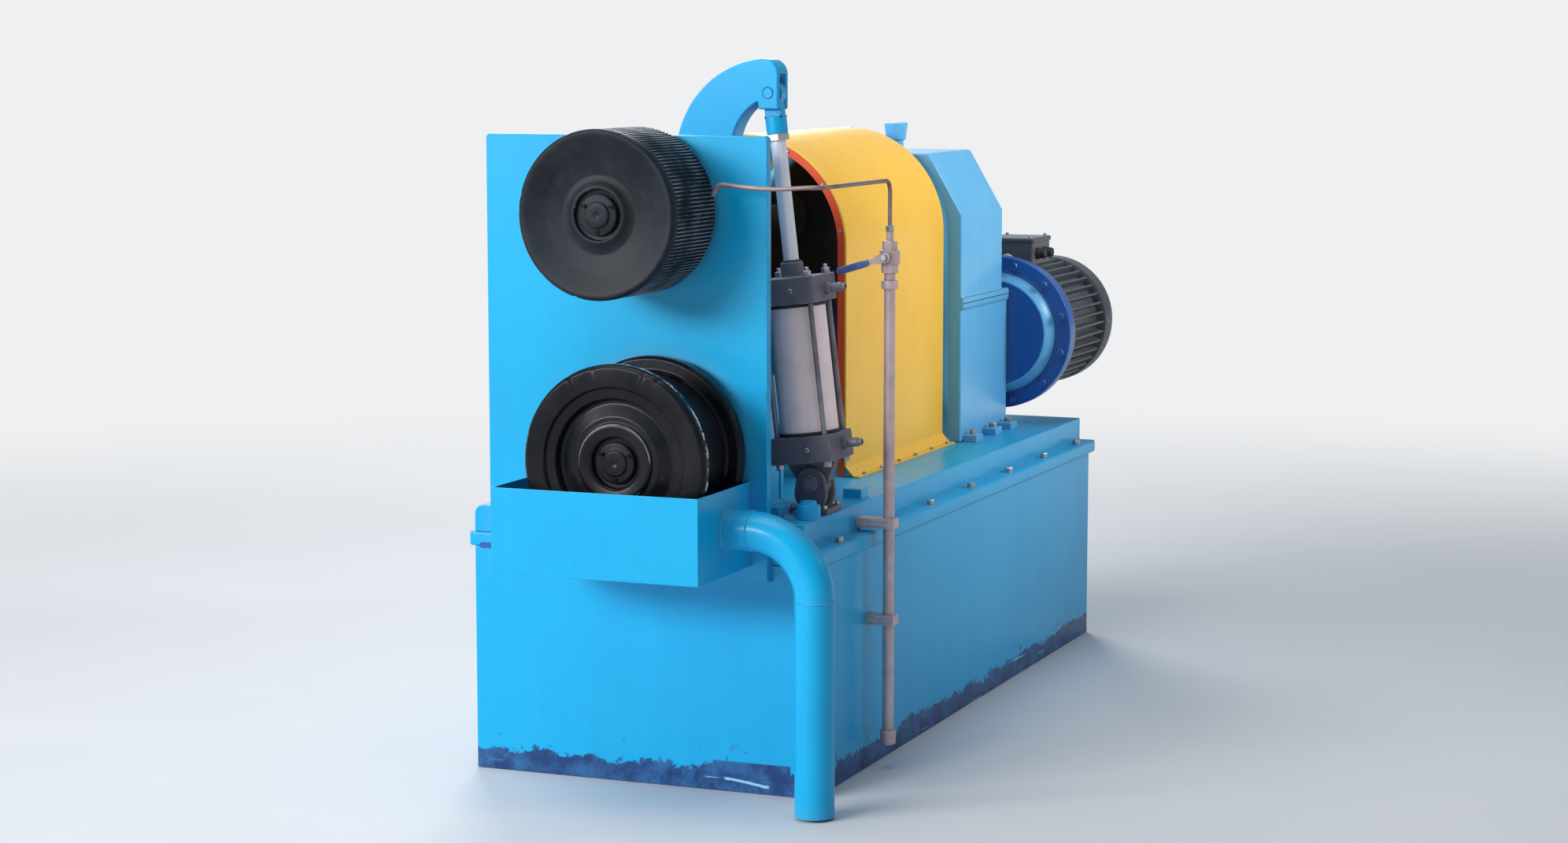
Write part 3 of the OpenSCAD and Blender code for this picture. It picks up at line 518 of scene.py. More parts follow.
def dipped_vinyl(name):
    """The grip's dark blue vinyl: soft gloss, thumb-worn paler patches."""
    tree, base = new_finish(name, "lever_blue", 0.42, **{"Coat Weight": 0.15, "Coat Roughness": 0.3})
    tone = noise(tree, 40.0, 5.0, 0.6).band(0.40, 0.75).mix((0.110, 0.150, 0.400), (0.160, 0.205, 0.480))
    cover(base, tone, None, noise(tree, 260.0, 2.0), 0.3)


def soft_rubber(name):
    """Black seal rubber and gaskets, dull and filmed with dust."""
    tree, base = new_finish(name, "dark_casting", 0.72)
    cloud = noise(tree, 30.0, 5.0, 0.6)
    cover(base, cloud.band(0.35, 0.75).mix((0.014, 0.014, 0.015), (0.035, 0.035, 0.036)), None, cloud, 0.2)


print("kinds of metal", [f.__name__ for f in (roll_iron, bare_metal, dipped_vinyl, soft_rubber)])

# %% [markdown]
# Each finish is then one call: its colours, its gloss, the way its lines run and how fine they are.

# %% The metals themselves
roll_iron("upper_iron", (0.005, 0.008, 0.012), (0.018, 0.023, 0.031), 0.42, fluted_rim)
roll_iron("lower_iron", (0.004, 0.005, 0.007), (0.012, 0.013, 0.017), 0.24, flange_glints)
EVEN = (1.0, 1.0, 1.0)
# The barrel's pale pink tone is partly painted light: the hot bar's orange glow and the bright hall, painted
# into its colour.
bare_metal("barrel_alloy", "barrel_alloy", (0.97, 0.79, 0.77), (0.90, 0.71, 0.69), 0.40, (1, 1, 0.05), 160.0,
           0.0, 0.2)
bare_metal("rod_chrome", "rod_chrome", (0.95, 0.91, 0.92), (0.87, 0.83, 0.84), 0.18, (1, 1, 0.5), 90.0,
           0.35, 0.2, 0.08)
bare_metal("turned_steel", "bright_steel", (0.46, 0.46, 0.47), (0.36, 0.35, 0.35), 0.30, (0.3, 4, 0.3), 120.0)
bare_metal("zinc_bolt", "bright_steel", (0.56, 0.56, 0.58), (0.40, 0.39, 0.38), 0.38, EVEN, 220.0, 0.9, 0.6)
bare_metal("dull_zinc", "bright_steel", (0.26, 0.25, 0.27), (0.15, 0.145, 0.155), 0.50, EVEN, 150.0, 0.5, 0.6)
bare_metal("galvanised", "galvanised", (0.72, 0.54, 0.53), (0.54, 0.39, 0.38), 0.48, (1, 1, 0.3), 46.0,
           0.4, 0.5, 0.4)
bare_metal("spray_copper", "galvanised", (0.36, 0.25, 0.24), (0.22, 0.15, 0.14), 0.44, EVEN, 80.0, 0.5, 0.4)
dipped_vinyl("grip_vinyl")
soft_rubber("seal_rubber")
print("finishes", len(finishes))

# %% [markdown]
# ## Turning the solids into made things
#
# No real edge is perfectly sharp: a plate has a small burr or a ground edge, and a casting has a radius.
# A copy of each solid's mesh is merged, its flat faces are joined, and a Bevel modifier rounds the
# edges. The copy stands for the solid, and keeps its place to the last digit. On the arm a step of less
# than a millimetre, where two arcs meet, is closed first, because a bevel can't run over it.

# %% Mesh helpers
SAME_POINT, TOUCHING, CLOSE_STEPS = 2e-5, 2e-6, {"swing_arm": 0.0009}
FLAT, SHARP = math.radians(0.6), math.radians(32.0)


def dress(obj, finish, body, bevel=0.0, smooth=38.0):
    """Gives a piece its finish, its body, and either rounded edges or smooth faces between sharp ones."""
    material, slot = finishes[finish]
    obj.data.materials.append(material)
    obj.data.polygons.foreach_set("use_smooth", np.ones(len(obj.data.polygons), bool))
    if bevel:
        edge = obj.modifiers.new("edge", "BEVEL")
        edge.width, edge.segments = bevel, 2
        edge.limit_method, edge.angle_limit = "ANGLE", SHARP
        edge.use_clamp_overlap = False
        edge.miter_outer = "MITER_ARC"
        obj.modifiers.new("even", "WEIGHTED_NORMAL").keep_sharp = True
    else:
        obj.data.set_sharp_from_angle(angle=math.radians(smooth))
    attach(obj, body)
    return obj


def merged(mesh, distance):
    """A mesh opened for editing, its points closer than a distance made one."""
    work = bmesh.new()
    work.from_mesh(mesh)
    bmesh.ops.remove_doubles(work, verts=work.verts, dist=distance)
    return work


def skin(node, finish, bevel):
    """A merged copy of a solid with rounded edges, which stands for the solid."""
    source = frame["nodes"][node]
    work = merged(source.data, CLOSE_STEPS.get(node, SAME_POINT))
    bmesh.ops.dissolve_limit(work, angle_limit=FLAT, verts=work.verts, edges=work.edges)
    work.verts.index_update()
    verts, faces = [v.co[:] for v in work.verts], [[v.index for v in f.verts] for f in work.faces]
    work.free()
    obj = link_mesh(node + "_skin", verts, faces)
    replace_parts(obj, node)
    dress(obj, finish, source["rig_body"], bevel)


skins = {
    "base_box": ("sky_blue_foot", 0.003), "base_flange": ("sky_blue", 0.006), "bed": ("sky_blue", 0.003),
    "front_plate": ("sky_blue", 0.002), "rear_plate": ("sky_blue", 0.002),
    "left_side_plate": ("sky_blue", 0.0015), "right_rib": ("sky_blue", 0.0015),
    "pivot_bearing": ("sky_blue", 0.002), "lower_bearing_housing": ("sky_blue", 0.002),
    "lower_bearing_cover": ("sky_blue", 0.002), "swing_arm": ("sky_blue", 0.004),
    "arm_cover": ("sky_blue", 0.003), "rod_eye": ("sky_blue", 0.002),
    "clevis_bracket": ("grey_casting", 0.003), "cylinder_end_cap": ("grey_casting", 0.0025),
    "cylinder_head_cap": ("grey_casting", 0.0025), "coupling_guard": ("guard_yellow", 0.001),
    "guard_front_ring": ("guard_orange", 0.001), "gearbox": ("drive_blue", 0.006),
    "gearbox_vent": ("drive_blue", 0.003), "motor_adapter": ("deep_blue", 0.003),
    "motor_body": ("motor_grey", 0.0008), "motor_terminal_box": ("motor_grey", 0.006),
    "drip_tray": ("sky_blue", 0.0012),
    "upper_coupling": ("grey_casting", 0.002), "lower_coupling": ("grey_casting", 0.002),
    "gearbox_seals": ("seal_rubber", 0.002), "ball_valve": ("galvanised", 0.0012),
    "arm_fork_pin": ("sky_blue", 0.001), "clevis_pin": ("dull_zinc", 0.001),
    "lower_shaft": ("turned_steel", 0.001), "upper_shaft": ("turned_steel", 0.001),
    "lower_drive_shaft": ("turned_steel", 0.001), "upper_drive_shaft": ("turned_steel", 0.001),
    "water_pipe": ("galvanised", 0.0008), "drain_pipe": ("sky_blue", 0.001),
    "piston_rod": ("rod_chrome", 0.0008), "cylinder_barrel": ("barrel_alloy", 0.0008),
    "cylinder_tie_rods": ("dull_zinc", 0.0008),
}
for node, (finish, bevel) in skins.items():
    skin(node, finish, bevel)
print("skins", len(skins))

# %% [markdown]
# ## Shapes from two parameters
#
# Almost every other piece is one of three surfaces: a profile turned about an axis, a round section
# carried along a path, or one small form repeated in many places. Each is worked out on a whole grid
# of points at once.

# %% Grids and curves
def grid_faces(rows, columns, joined=False):
    """Four-cornered faces of a grid whose last column meets its first. Joined, so do its rows."""
    i, j = np.meshgrid(np.arange(rows if joined else rows - 1), np.arange(columns), indexing="ij")
    below, beside = (i + 1) % rows, (j + 1) % columns
    corners = [i * columns + j, i * columns + beside, below * columns + beside, below * columns + j]
    return np.stack(corners, -1).reshape(-1, 4).tolist()


def lids(rows, columns):
    """The two flat faces that close a grid's first row and its last."""
    return [list(range(columns)), list(range((rows - 1) * columns, rows * columns))]


def axes_for(direction):
    """A direction's unit vector, and two unit vectors square to it and to each other."""
    d = np.asarray(direction, float) / np.linalg.norm(direction)
    helper = np.array([0.0, 0.0, 1.0]) if abs(d[2]) < 0.9 else np.array([1.0, 0.0, 0.0])
    across = np.cross(helper, d)
    across /= np.linalg.norm(across)
    return d, across, np.cross(d, across)


def spokes(angle, across, up):
    """Unit vectors: the cosine of each angle across plus its sine up."""
    return np.cos(angle)[:, None] * across + np.sin(angle)[:, None] * up


def pulled(start, corner, end, t):
    """The quadratic curve from start to end that the corner pulls towards itself."""
    return (1 - t) ** 2 * start + 2 * t * (1 - t) * corner + t ** 2 * end


def soft_profile(points, radius=0.0015, steps=3):
    """A profile with each inner corner replaced by a short pulled curve."""
    points = np.asarray(points, float)
    before, corner, after = points[:-2], points[1:-1], points[2:]
    back = np.linalg.norm(before - corner, axis=1, keepdims=True)
    ahead = np.linalg.norm(after - corner, axis=1, keepdims=True)
    start = corner + (before - corner) / back * np.minimum(radius, back * 0.45)
    end = corner + (after - corner) / ahead * np.minimum(radius, ahead * 0.45)
    arcs = pulled(start[:, None], corner[:, None], end[:, None], np.linspace(0, 1, steps)[None, :, None])
    return np.vstack([points[:1], arcs.reshape(-1, 2), points[-1:]])


def bend_path(corners, radius, steps=9):
    """Straight runs between corners, each inner corner replaced by a smooth bend of about that radius."""
    corners = np.asarray(corners, float)
    rows, t = [corners[:1]], np.linspace(0, 1, steps)[:, None]
    for before, corner, after in zip(corners[:-2], corners[1:-1], corners[2:]):
        start = corner + (before - corner) / np.linalg.norm(before - corner) * radius
        end = corner + (after - corner) / np.linalg.norm(after - corner) * radius
        rows.append(pulled(start, corner, end, t))
    return np.vstack([*rows, corners[-1:]])


def make(name, form, finish, body="root", **edges):
    """A dressed piece from points and faces, merged, with every face turned outwards."""
    obj = link_mesh(name, np.asarray(form[0]).reshape(-1, 3).tolist(), form[1])
    work = merged(obj.data, TOUCHING)
    bmesh.ops.recalc_face_normals(work, faces=work.faces)
    work.to_mesh(obj.data)
    work.free()
    return dress(obj, finish, body, **edges)


print("a grid of 3 by 4 points has", len(grid_faces(3, 4)), "faces between them and", len(lids(3, 4)), "lids")

# %% Turned and carried forms
def turned(place, direction, profile, sides=64, wobble=None):
    """Profile rows (distance along, distance out) turned about an axis.
    Point = place + along times the axis + out times (cosine of the angle across + sine of the angle up)."""
    d, across, up = axes_for(direction)
    along, out = np.asarray(profile, float).T
    angle = around(sides)
    reach = np.repeat(out[:, None], sides, 1)
    if wobble is not None:
        reach = reach + wobble(along[:, None], angle[None, :])
    grid = np.asarray(place, float) + along[:, None, None] * d + reach[..., None] * spokes(angle, across, up)
    return grid.reshape(-1, 3), grid_faces(len(along), sides)


def lathe(name, place, direction, outline, finish, body="root", sides=64, radius=0.0015, bore=0.0):
    """A turned piece. Its outline is led in to the axis at both ends, or round a bore back to its start."""
    if outline[0] != outline[-1]:
        start, end = (outline[0][0], bore), (outline[-1][0], bore)
        outline = [start, *outline] + [end] * (outline[-1][1] > 0) + [start] * (bore > 0)
    return make(name, turned(place, direction, soft_profile(outline, radius), sides), finish, body)


def carried(path, radius, sides=12, lean=UP):
    """A circle carried along a path: each ring stands square to the path's own direction there.
    The first direction of each ring is the part of lean that is square to the path."""
    path, lean = np.asarray(path, float), np.asarray(lean, float)
    run = np.gradient(path, axis=0)
    run /= np.linalg.norm(run, axis=1, keepdims=True)
    first = lean - (run @ lean)[:, None] * run
    first /= np.linalg.norm(first, axis=1, keepdims=True)
    second = np.cross(run, first)
    angle = around(sides)
    reach = np.broadcast_to(np.asarray(radius, float), (len(path),))[:, None, None]
    ring = np.cos(angle)[None, :, None] * first[:, None] + np.sin(angle)[None, :, None] * second[:, None]
    return path[:, None] + reach * ring, grid_faces(len(path), sides) + lids(len(path), sides)


def tube(name, path, radius, finish, sides, lean=UP):
    return make(name, carried(path, radius, sides, lean), finish, smooth=50.0)


print("turned and carried forms ready")

# %% [markdown]
# A screw head is a stack of twelve-sided rings. It is drawn once, and copies of it, each turned by
# chance as a real screw would be, make up a set in one mesh.

# %% Screws and nuts
def spread(form, centres, direction, turns=None):
    """One small form, drawn along its own Z, set at many places with Z along the direction.
    Each copy is turned about its own axis by its entry in turns, or else by chance."""
    verts, faces = form
    centres = np.asarray(centres, float).reshape(-1, 3)
    d, across, up = axes_for(direction)
    count = len(centres)
    turns = luck.uniform(0, 2 * math.pi, count) if turns is None else np.broadcast_to(turns, count)
    c, s = np.cos(turns)[:, None], np.sin(turns)[:, None]
    x = c * verts[None, :, 0] - s * verts[None, :, 1]
    y = s * verts[None, :, 0] + c * verts[None, :, 1]
    z = np.broadcast_to(verts[None, :, 2], x.shape)
    placed = centres[:, None] + x[..., None] * across + y[..., None] * up + z[..., None] * d
    return placed.reshape(-1, 3), [[v + k * len(verts) for v in f] for k in range(count) for f in faces]


def ring_stack(rings):
    """Rings of twelve points, each (height, corner reach, flat reach), closed at both ends."""
    height, corner, flat = np.array(rings, float).T
    angle = np.arange(12) * math.pi / 6
    reach = np.stack([corner, flat] * 6, 1)
    grid = np.stack([reach * np.cos(angle), reach * np.sin(angle), np.repeat(height[:, None], 12, 1)], -1)
    return grid.reshape(-1, 3), grid_faces(len(rings), 12) + lids(len(rings), 12)


def hex_form(flats):
    """A hexagon head on a washer: corner reach is flat reach over the cosine of thirty degrees."""
    f, c, w = flats / 2, flats / 2 / math.cos(math.pi / 6), flats * 0.62
    t, h = flats * 0.10, flats * 0.62
    return ring_stack([(-0.001, w, w), (t, w, w), (t, c, f), (t + h * 0.82, c, f),
                       (t + h, f * 0.96, f * 0.90)])


def socket_form(width):
    """A round screw head with a hexagon recess."""
    r, s, h = width / 2, width * 0.27, width * 0.62
    corner = s / math.cos(math.pi / 6)
    return ring_stack([(-0.001, r, r), (h * 0.88, r, r), (h, r * 0.88, r * 0.88), (h, corner, s),
                       (h * 0.45, corner, s)])


def stub_form(width):
    """The end of a threaded rod, with a small chamfer."""
    return ring_stack([(-0.004, width / 2, width / 2), (0.012, width / 2, width / 2),
                       (0.013, width * 0.42, width * 0.42)])


def screws(name, centres, direction, size, finish="zinc_bolt", body="root", form=hex_form):
    """A set of like screw heads as one piece."""
    make(name, spread(form(size), centres, direction), finish, body, smooth=25.0)


def nut(name, rings, place, direction, turn, finish="zinc_bolt", body="root"):
    """One hexagon from its own rings, turned by a set angle."""
    make(name, spread(ring_stack(rings), [place], direction, turn), finish, body, smooth=25.0)


def on_circle(centre, radius, count, y, start=0.0):
    """Points evenly round a centre given in X and Z, at one station along Y."""
    angle = start + np.arange(count) * 2 * math.pi / count
    x, z = centre[0] + radius * np.cos(angle), centre[1] + radius * np.sin(angle)
    return np.stack([x, np.full(count, y), z], 1)


print("a screw head has", len(hex_form(0.013)[0]), "points")

# %% [markdown]
# A weld bead is a carried circle whose size swells like laid drops. A plate is an outline with two lids.

# %% Beads and plates
DROP = 0.007


def weld(name, radius, *corners):
    """A weld bead: a round section whose radius swells and shrinks like laid drops, every 7 mm."""
    corners = np.asarray(corners, float)
    reach = np.concatenate([[0], np.cumsum(np.linalg.norm(np.diff(corners, axis=0), axis=1))])
    at = np.linspace(0, reach[-1], max(8, int(reach[-1] / 0.0022)))
    path = np.stack([np.interp(at, reach, corners[:, k]) for k in range(3)], 1)
    swell = radius * (0.86 + 0.16 * np.abs(np.sin(math.pi * at / DROP)) + 0.05 * np.sin(at * 61.0))
    run = corners[-1] - corners[0]
    lean = UP if abs(run[2]) < 0.7 * np.linalg.norm(run) else RIGHT
    make(name, carried(path, swell, 7, lean), "sky_blue", smooth=60.0)


def ring_bead(name, centre, normal, reach, radius, finish="sky_blue"):
    """A weld bead that runs once round a pipe, with the same laid drops as the straight ones."""
    d, across, up = axes_for(normal)
    turn = around(int(reach * 2800))
    swell = radius * (0.84 + 0.18 * np.abs(np.sin(turn * reach / DROP * math.pi / 2)))[:, None, None]
    c, s = (f(around(8))[None, :, None] for f in (np.cos, np.sin))
    spoke = spokes(turn, across, up)[:, None]
    grid = np.asarray(centre, float) + spoke * (reach + swell * c) + d * (swell * s)
    make(name, (grid, grid_faces(len(turn), 8, True)), finish, smooth=60.0)


def slab(name, outline, along, low, high, finish, body="root", bevel=0.0015):
    """An outline made solid along Y, from points in X and Z, or along Z, from points in X and Y."""
    flat, deep = {"y": ([0, 2], 1), "z": ([0, 1], 2)}[along]
    n = len(outline)
    verts = np.zeros((2, n, 3))
    verts[..., flat] = np.asarray(outline, float)
    verts[0, :, deep], verts[1, :, deep] = low, high
    return make(name, (verts, lids(2, n) + grid_faces(2, n)), finish, body, bevel=bevel)


def pad(name, x0, x1, y0, y1, low, high, finish, bevel=0.003):
    """A rectangular plate that lies flat."""
    slab(name, [(x0, y0), (x1, y0), (x1, y1), (x0, y1)], "z", low, high, finish, bevel=bevel)


print("a drop of weld is", DROP, "m long")

# %% [markdown]
# ## The two rolls
#
# The upper roll grips the bar with a fluted rim behind a smooth band; a bar mill leaves its edges
# nicked. Its radius is a function of the angle and the station along the axis: a rounded square wave
# for the flutes, less a few dozen small hollows for the nicks. The lower roll carries the bar between
# two flanges, and its front flange is chipped along the rear edge.

# %% Upper roll
FLUTES, FLUTE_DEPTH, FLUTE_START, STEEP = 132, 0.0032, 0.024, 2.6
ROLL_WIDTH, RIM, TIP, BORE = 0.238, 0.190, 0.1894, 0.0352
DISH = [(ROLL_WIDTH, 0.150), (ROLL_WIDTH - 0.03, 0.140), (ROLL_WIDTH - 0.03, 0.080), (ROLL_WIDTH, 0.070),
        (ROLL_WIDTH, BORE), (0.024, BORE)]


def nicks(count, stations, spread_y, depth, reach):
    """Hollows at random angles round the rim: each is a bell curve in angle and in station."""
    at = luck.uniform(0, 2 * math.pi, count)
    y0 = luck.choice(stations, count) + luck.normal(0, spread_y, count)
    deep = luck.uniform(0.4, 1.0, count) * depth
    wide = luck.uniform(0.5, 1.3, count) * reach

    def hollow(along, angle):
        turn = np.angle(np.exp(1j * (angle[..., None] - at)))
        return (deep * np.exp(-(turn * RIM / wide) ** 2 - ((along[..., None] - y0) / wide) ** 2)).sum(-1)
    return hollow


def roll_piece(name, axis, profile, sides, rim, finish):
    """A roll turned about its axis from its front face, with its rim's fine form."""
    form = turned((axis[0], ROLL_FRONT, axis[1]), BACK, profile, sides, rim)
    roll = make(name + "_turned", form, finish, name + "_set", smooth=30.0)
    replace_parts(roll, name)
    print(name, "faces", len(roll.data.polygons))


def upper_roll():
    """Radius = profile radius - flute depth times a rounded square wave of the angle - nicks."""
    lead = [(0.024, BORE), (0.024, 0.056), (0.013, 0.057), (0.013, 0.064), (0.019, 0.074), (0.022, 0.088),
            (0.014, 0.130), (0.002, 0.172), (0.0, 0.184), (0.006, RIM), (FLUTE_START - 0.002, RIM)]
    tail = [(ROLL_WIDTH - 0.0015, TIP), (ROLL_WIDTH, 0.186), *DISH]
    stations = [*(FLUTE_START + np.array([-0.0006, 0.0, 0.0012])),
                *np.linspace(FLUTE_START + 0.008, ROLL_WIDTH - 0.005, 18)]
    rows = [(y, RIM if y < FLUTE_START else TIP) for y in stations]
    profile = np.vstack([soft_profile(lead, 0.003), rows, soft_profile(tail, 0.002)])
    hollow = nicks(34, [FLUTE_START + 0.0015, 0.003, ROLL_WIDTH - 0.003], 0.003, 0.0020, 0.0042)

    def rim(along, angle):
        square = 0.5 - 0.5 * np.tanh(np.cos(angle * FLUTES) * STEEP) / math.tanh(STEEP)
        inside = ((along > FLUTE_START + 0.0004) & (along < ROLL_WIDTH - 0.0005)).astype(float)
        on_rim = profile[:, 1:2] > 0.183
        return -(FLUTE_DEPTH * square * inside + hollow(along, angle)) * on_rim
    roll_piece("upper_roll", UPPER, profile, FLUTES * 7, rim, "upper_iron")


upper_roll()

# %% Lower roll
FLANGE, FLANGE_RIM, TREAD = 0.034, 0.222, 0.188


def lower_roll():
    """Radius = profile radius - nicks, most of them along the front flange's rear edge."""
    front, back = FLANGE, ROLL_WIDTH - FLANGE
    profile = [(0.024, BORE), (0.024, 0.056), (0.013, 0.057), (0.009, 0.062), (0.006, 0.082), (0.008, 0.088),
               (0.014, 0.091), (0.014, 0.104), (0.026, 0.132), (0.026, 0.140), (0.008, 0.146), (0.008, 0.168),
               (0.0, 0.172), (0.0, 0.214), (0.008, FLANGE_RIM), (front - 0.006, FLANGE_RIM), (front, 0.216),
               (front, 0.192), (front + 0.004, TREAD), (back - 0.004, TREAD), (back, 0.192), (back, 0.216),
               (back + 0.006, FLANGE_RIM), (ROLL_WIDTH - 0.004, FLANGE_RIM), (ROLL_WIDTH, 0.218), *DISH]
    profile = soft_profile(profile, 0.0025, 4)
    edge = FLANGE - 0.0035
    hollow = nicks(60, [edge, edge, edge, 0.005], 0.0025, 0.0024, 0.005)

    def rim(along, angle):
        out = profile[:, 1:2]
        groove = 0.0005 * (np.abs(np.sin(along * 260.0)) > 0.93) * ((out > 0.1875) & (out < 0.1885))
        on_flange = out > 0.212
        return -hollow(along, angle) * on_flange - groove
    roll_piece("lower_roll", LOWER, profile, 480, rim, "lower_iron")


lower_roll()


def roll_end(name, axis, finish):
    """The end plate that keeps a roll on its shaft: a stepped disc with three screws and a centre."""
    outline = [(0.0, 0.047), (0.009, 0.047), (0.0115, 0.0445), (0.0115, 0.030), (0.016, 0.028),
               (0.016, 0.008), (0.0125, 0.0)]
    end = lathe(name + "_end_plate", (axis[0], ROLL_FRONT + 0.024, axis[1]), OUT, outline, finish,
                name + "_set", 48)
    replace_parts(end, name + "_cap")
    screws(name + "_end_screws", on_circle(axis, 0.038, 3, ROLL_FRONT + 0.0135, 0.5), OUT, 0.010, finish,
           name + "_set", socket_form)


roll_end("upper_roll", UPPER, "upper_iron")
roll_end("lower_roll", LOWER, "lower_iron")
print("rolls done")

# %% [markdown]
# ## Welds and bolts of the base and the stand
#
# The base is cut plate, welded along every seam, so each inner corner carries a bead. The stand's plates
# are welded to the bed, and the bearing housings are bolted through the front plate.

# %% Base and stand seams
for side, flange_x, bed_x in (("right", BASE_RIGHT, BED_RIGHT), ("left", -BASE_RIGHT, BED_LEFT)):
    for name, x, z in (("base", flange_x, FLANGE_LOW), ("bed", bed_x, FLANGE_TOP)):
        weld(f"{name}_{side}_bead", 0.0045, (x, FRONT + 0.01, z), (x, 1.09, z))
PLATE_LEFT, PLATE_RIGHT, PLATE_LOW = -0.379, 0.327, BED_TOP - 0.134
weld("plate_low_bead", 0.005, (PLATE_LEFT, FRONT, BED_TOP - 0.02), (PLATE_LEFT, FRONT, PLATE_LOW),
     (PLATE_RIGHT, FRONT, PLATE_LOW), (PLATE_RIGHT, FRONT, BED_TOP - 0.01))
TRAY_LEFT, TRAY_RIGHT, TRAY_LOW, TRAY_TOP = -0.220, 0.286, BED_TOP - 0.099, BED_TOP + 0.096
weld("tray_bead", 0.0035, (TRAY_LEFT, PLATE_FACE, TRAY_TOP - 0.004), (TRAY_LEFT, PLATE_FACE, TRAY_LOW),
     (TRAY_RIGHT, PLATE_FACE, TRAY_LOW), (TRAY_RIGHT, PLATE_FACE, TRAY_TOP - 0.004))

# A thin deep blue strip on the base front, just under the flange near its left end, is painted shade under
# the flange.
SHADE_X, SHADE_HALF, SHADE_ROUND = -0.4035, 0.0105, 0.007
turn = around(24)
slab("painted_flange_shade", np.stack([SHADE_X + SHADE_HALF * np.sign(np.cos(turn)) + SHADE_ROUND * np.cos(turn),
                            FLANGE_LOW + 0.003 + SHADE_ROUND * np.sin(turn)], 1),
     "y", FRONT - 0.0012, FRONT + 0.001, "deep_blue", bevel=0.0003)

REAR_Y0, REAR_Y1, FRONT_END = FRONT + 0.330, FRONT + 0.355, FRONT + 0.004
weld("rear_plate_bead", 0.005, (-0.386, REAR_Y1, BED_TOP), (0.214, REAR_Y1, BED_TOP))
weld("rear_plate_inner_bead", 0.005, (-0.368, REAR_Y0, BED_TOP), (0.196, REAR_Y0, BED_TOP))
weld("left_plate_bead", 0.004, (-0.386, FRONT_END, BED_TOP), (-0.386, REAR_Y0, BED_TOP))
weld("right_rib_bead", 0.004, (0.214, FRONT_END, BED_TOP), (0.214, REAR_Y0, BED_TOP))
weld("right_rib_corner", 0.004, (0.214, REAR_Y0, BED_TOP), (0.214, REAR_Y0, BED_TOP + 0.300))
weld("left_plate_corner", 0.004, (-0.370, REAR_Y0, BED_TOP), (-0.370, REAR_Y0, BED_TOP + 0.715))
print("beads laid")

# %% Bearing bolts
screws("pivot_ring_bolts", on_circle(PIVOT, 0.058, 6, FRONT + 0.028), BACK, 0.013)
screws("lower_housing_bolts", on_circle(LOWER, 0.101, 8, FRONT + 0.022, 0.39), BACK, 0.017)
screws("lower_cover_bolts", on_circle(LOWER, 0.063, 6, FRONT + 0.375), BACK, 0.013)
COVER_BACK = FRONT + 0.313
screws("arm_cover_bolts", np.vstack([on_circle(PIVOT, 0.076, 8, COVER_BACK, 0.2),
                                     on_circle(UPPER, 0.088, 8, COVER_BACK, 0.1)]), BACK, 0.013, body="arm")
print("bearing bolts set")

# %% Small things on the bed
lathe("bed_boss", (0.386, -1.020, BED_TOP), UP,
      [(0.0, 0.028), (0.034, 0.028), (0.034, 0.020), (0.043, 0.018)], "sky_blue", sides=40)
screws("bed_bolts", [(0.345, -0.985, BED_TOP), (0.345, -0.815, BED_TOP), (0.368, -0.825, BED_TOP)], UP, 0.018)
screws("flange_bolts", [(0.428, y, FLANGE_TOP) for y in np.linspace(-0.93, 0.99, 7)], UP, 0.019)
for name, x0, x1, y0, y1, height in (("stop_block_front", 0.300, 0.332, -1.060, -1.030, 0.030),
                                     ("stop_block_back", 0.344, 0.392, -0.690, -0.640, 0.026)):
    pad(name, x0, x1, y0, y1, BED_TOP - 0.001, BED_TOP + height, "sky_blue")
    weld(name + "_bead", 0.003, (x0, y0, BED_TOP), (x1, y0, BED_TOP), (x1, y1, BED_TOP))
print("bed fittings placed")

# %% [markdown]
# ## Air cylinder fittings
#
# The cylinder leans, so its small pieces are placed in its own axes: across, depth and along the rod.
# Four nuts clamp each cap on the tie rods, a gland and a wiper ring seal the rod, and each cap has a
# threaded port on its outer side with a short fitting for the air line.

# %% Cylinder axes and fittings
RAM_RUN = (ROD_PIN - FOOT_PIN) / np.linalg.norm(ROD_PIN - FOOT_PIN)
RAM_UP = np.array([RAM_RUN[0], 0.0, RAM_RUN[1]])
RAM_ACROSS = np.array([RAM_RUN[1], 0.0, -RAM_RUN[0]])
CAP_START, CAP_LENGTH, HEAD_START, HEAD_END = 0.050, 0.062, 0.418, 0.480
GLAND_END, TIE, ROD_BORE, BARREL = HEAD_END + 0.034, 0.059, 0.0181, 0.0685
RAM = "air_cylinder"


def on_ram(across, depth, along):
    """Point = foot pin + across times the cylinder's width axis + depth along Y + along its own axis."""
    foot = np.array([FOOT_PIN[0], RAM_Y, FOOT_PIN[1]])
    return foot + across * RAM_ACROSS + depth * np.array([0.0, 1.0, 0.0]) + along * RAM_UP


def on_ties(along):
    return [on_ram(a, b, along) for a in (-TIE, TIE) for b in (-TIE, TIE)]


screws("head_cap_nuts", on_ties(HEAD_END), RAM_UP, 0.018, body=RAM)
screws("end_cap_nuts", on_ties(CAP_START), -RAM_UP, 0.018, body=RAM)
screws("tie_rod_ends", on_ties(HEAD_END + 0.008), RAM_UP, 0.010, body=RAM, form=stub_form)
lathe("rod_wiper", on_ram(0, 0, GLAND_END - 0.0005), RAM_UP,
      [(0.0, 0.0240), (0.003, 0.0230), (0.0055, 0.0195)], "seal_rubber", RAM, 40, 0.0008, ROD_BORE)
for name, along in (("end", CAP_START + CAP_LENGTH), ("head", HEAD_START - 0.008)):
    lathe(name + "_barrel_seal", on_ram(0, 0, along), RAM_UP,
          [(0.0, 0.0715), (0.004, 0.0722), (0.008, 0.0715)], "seal_rubber", RAM, 64, 0.001, BARREL)


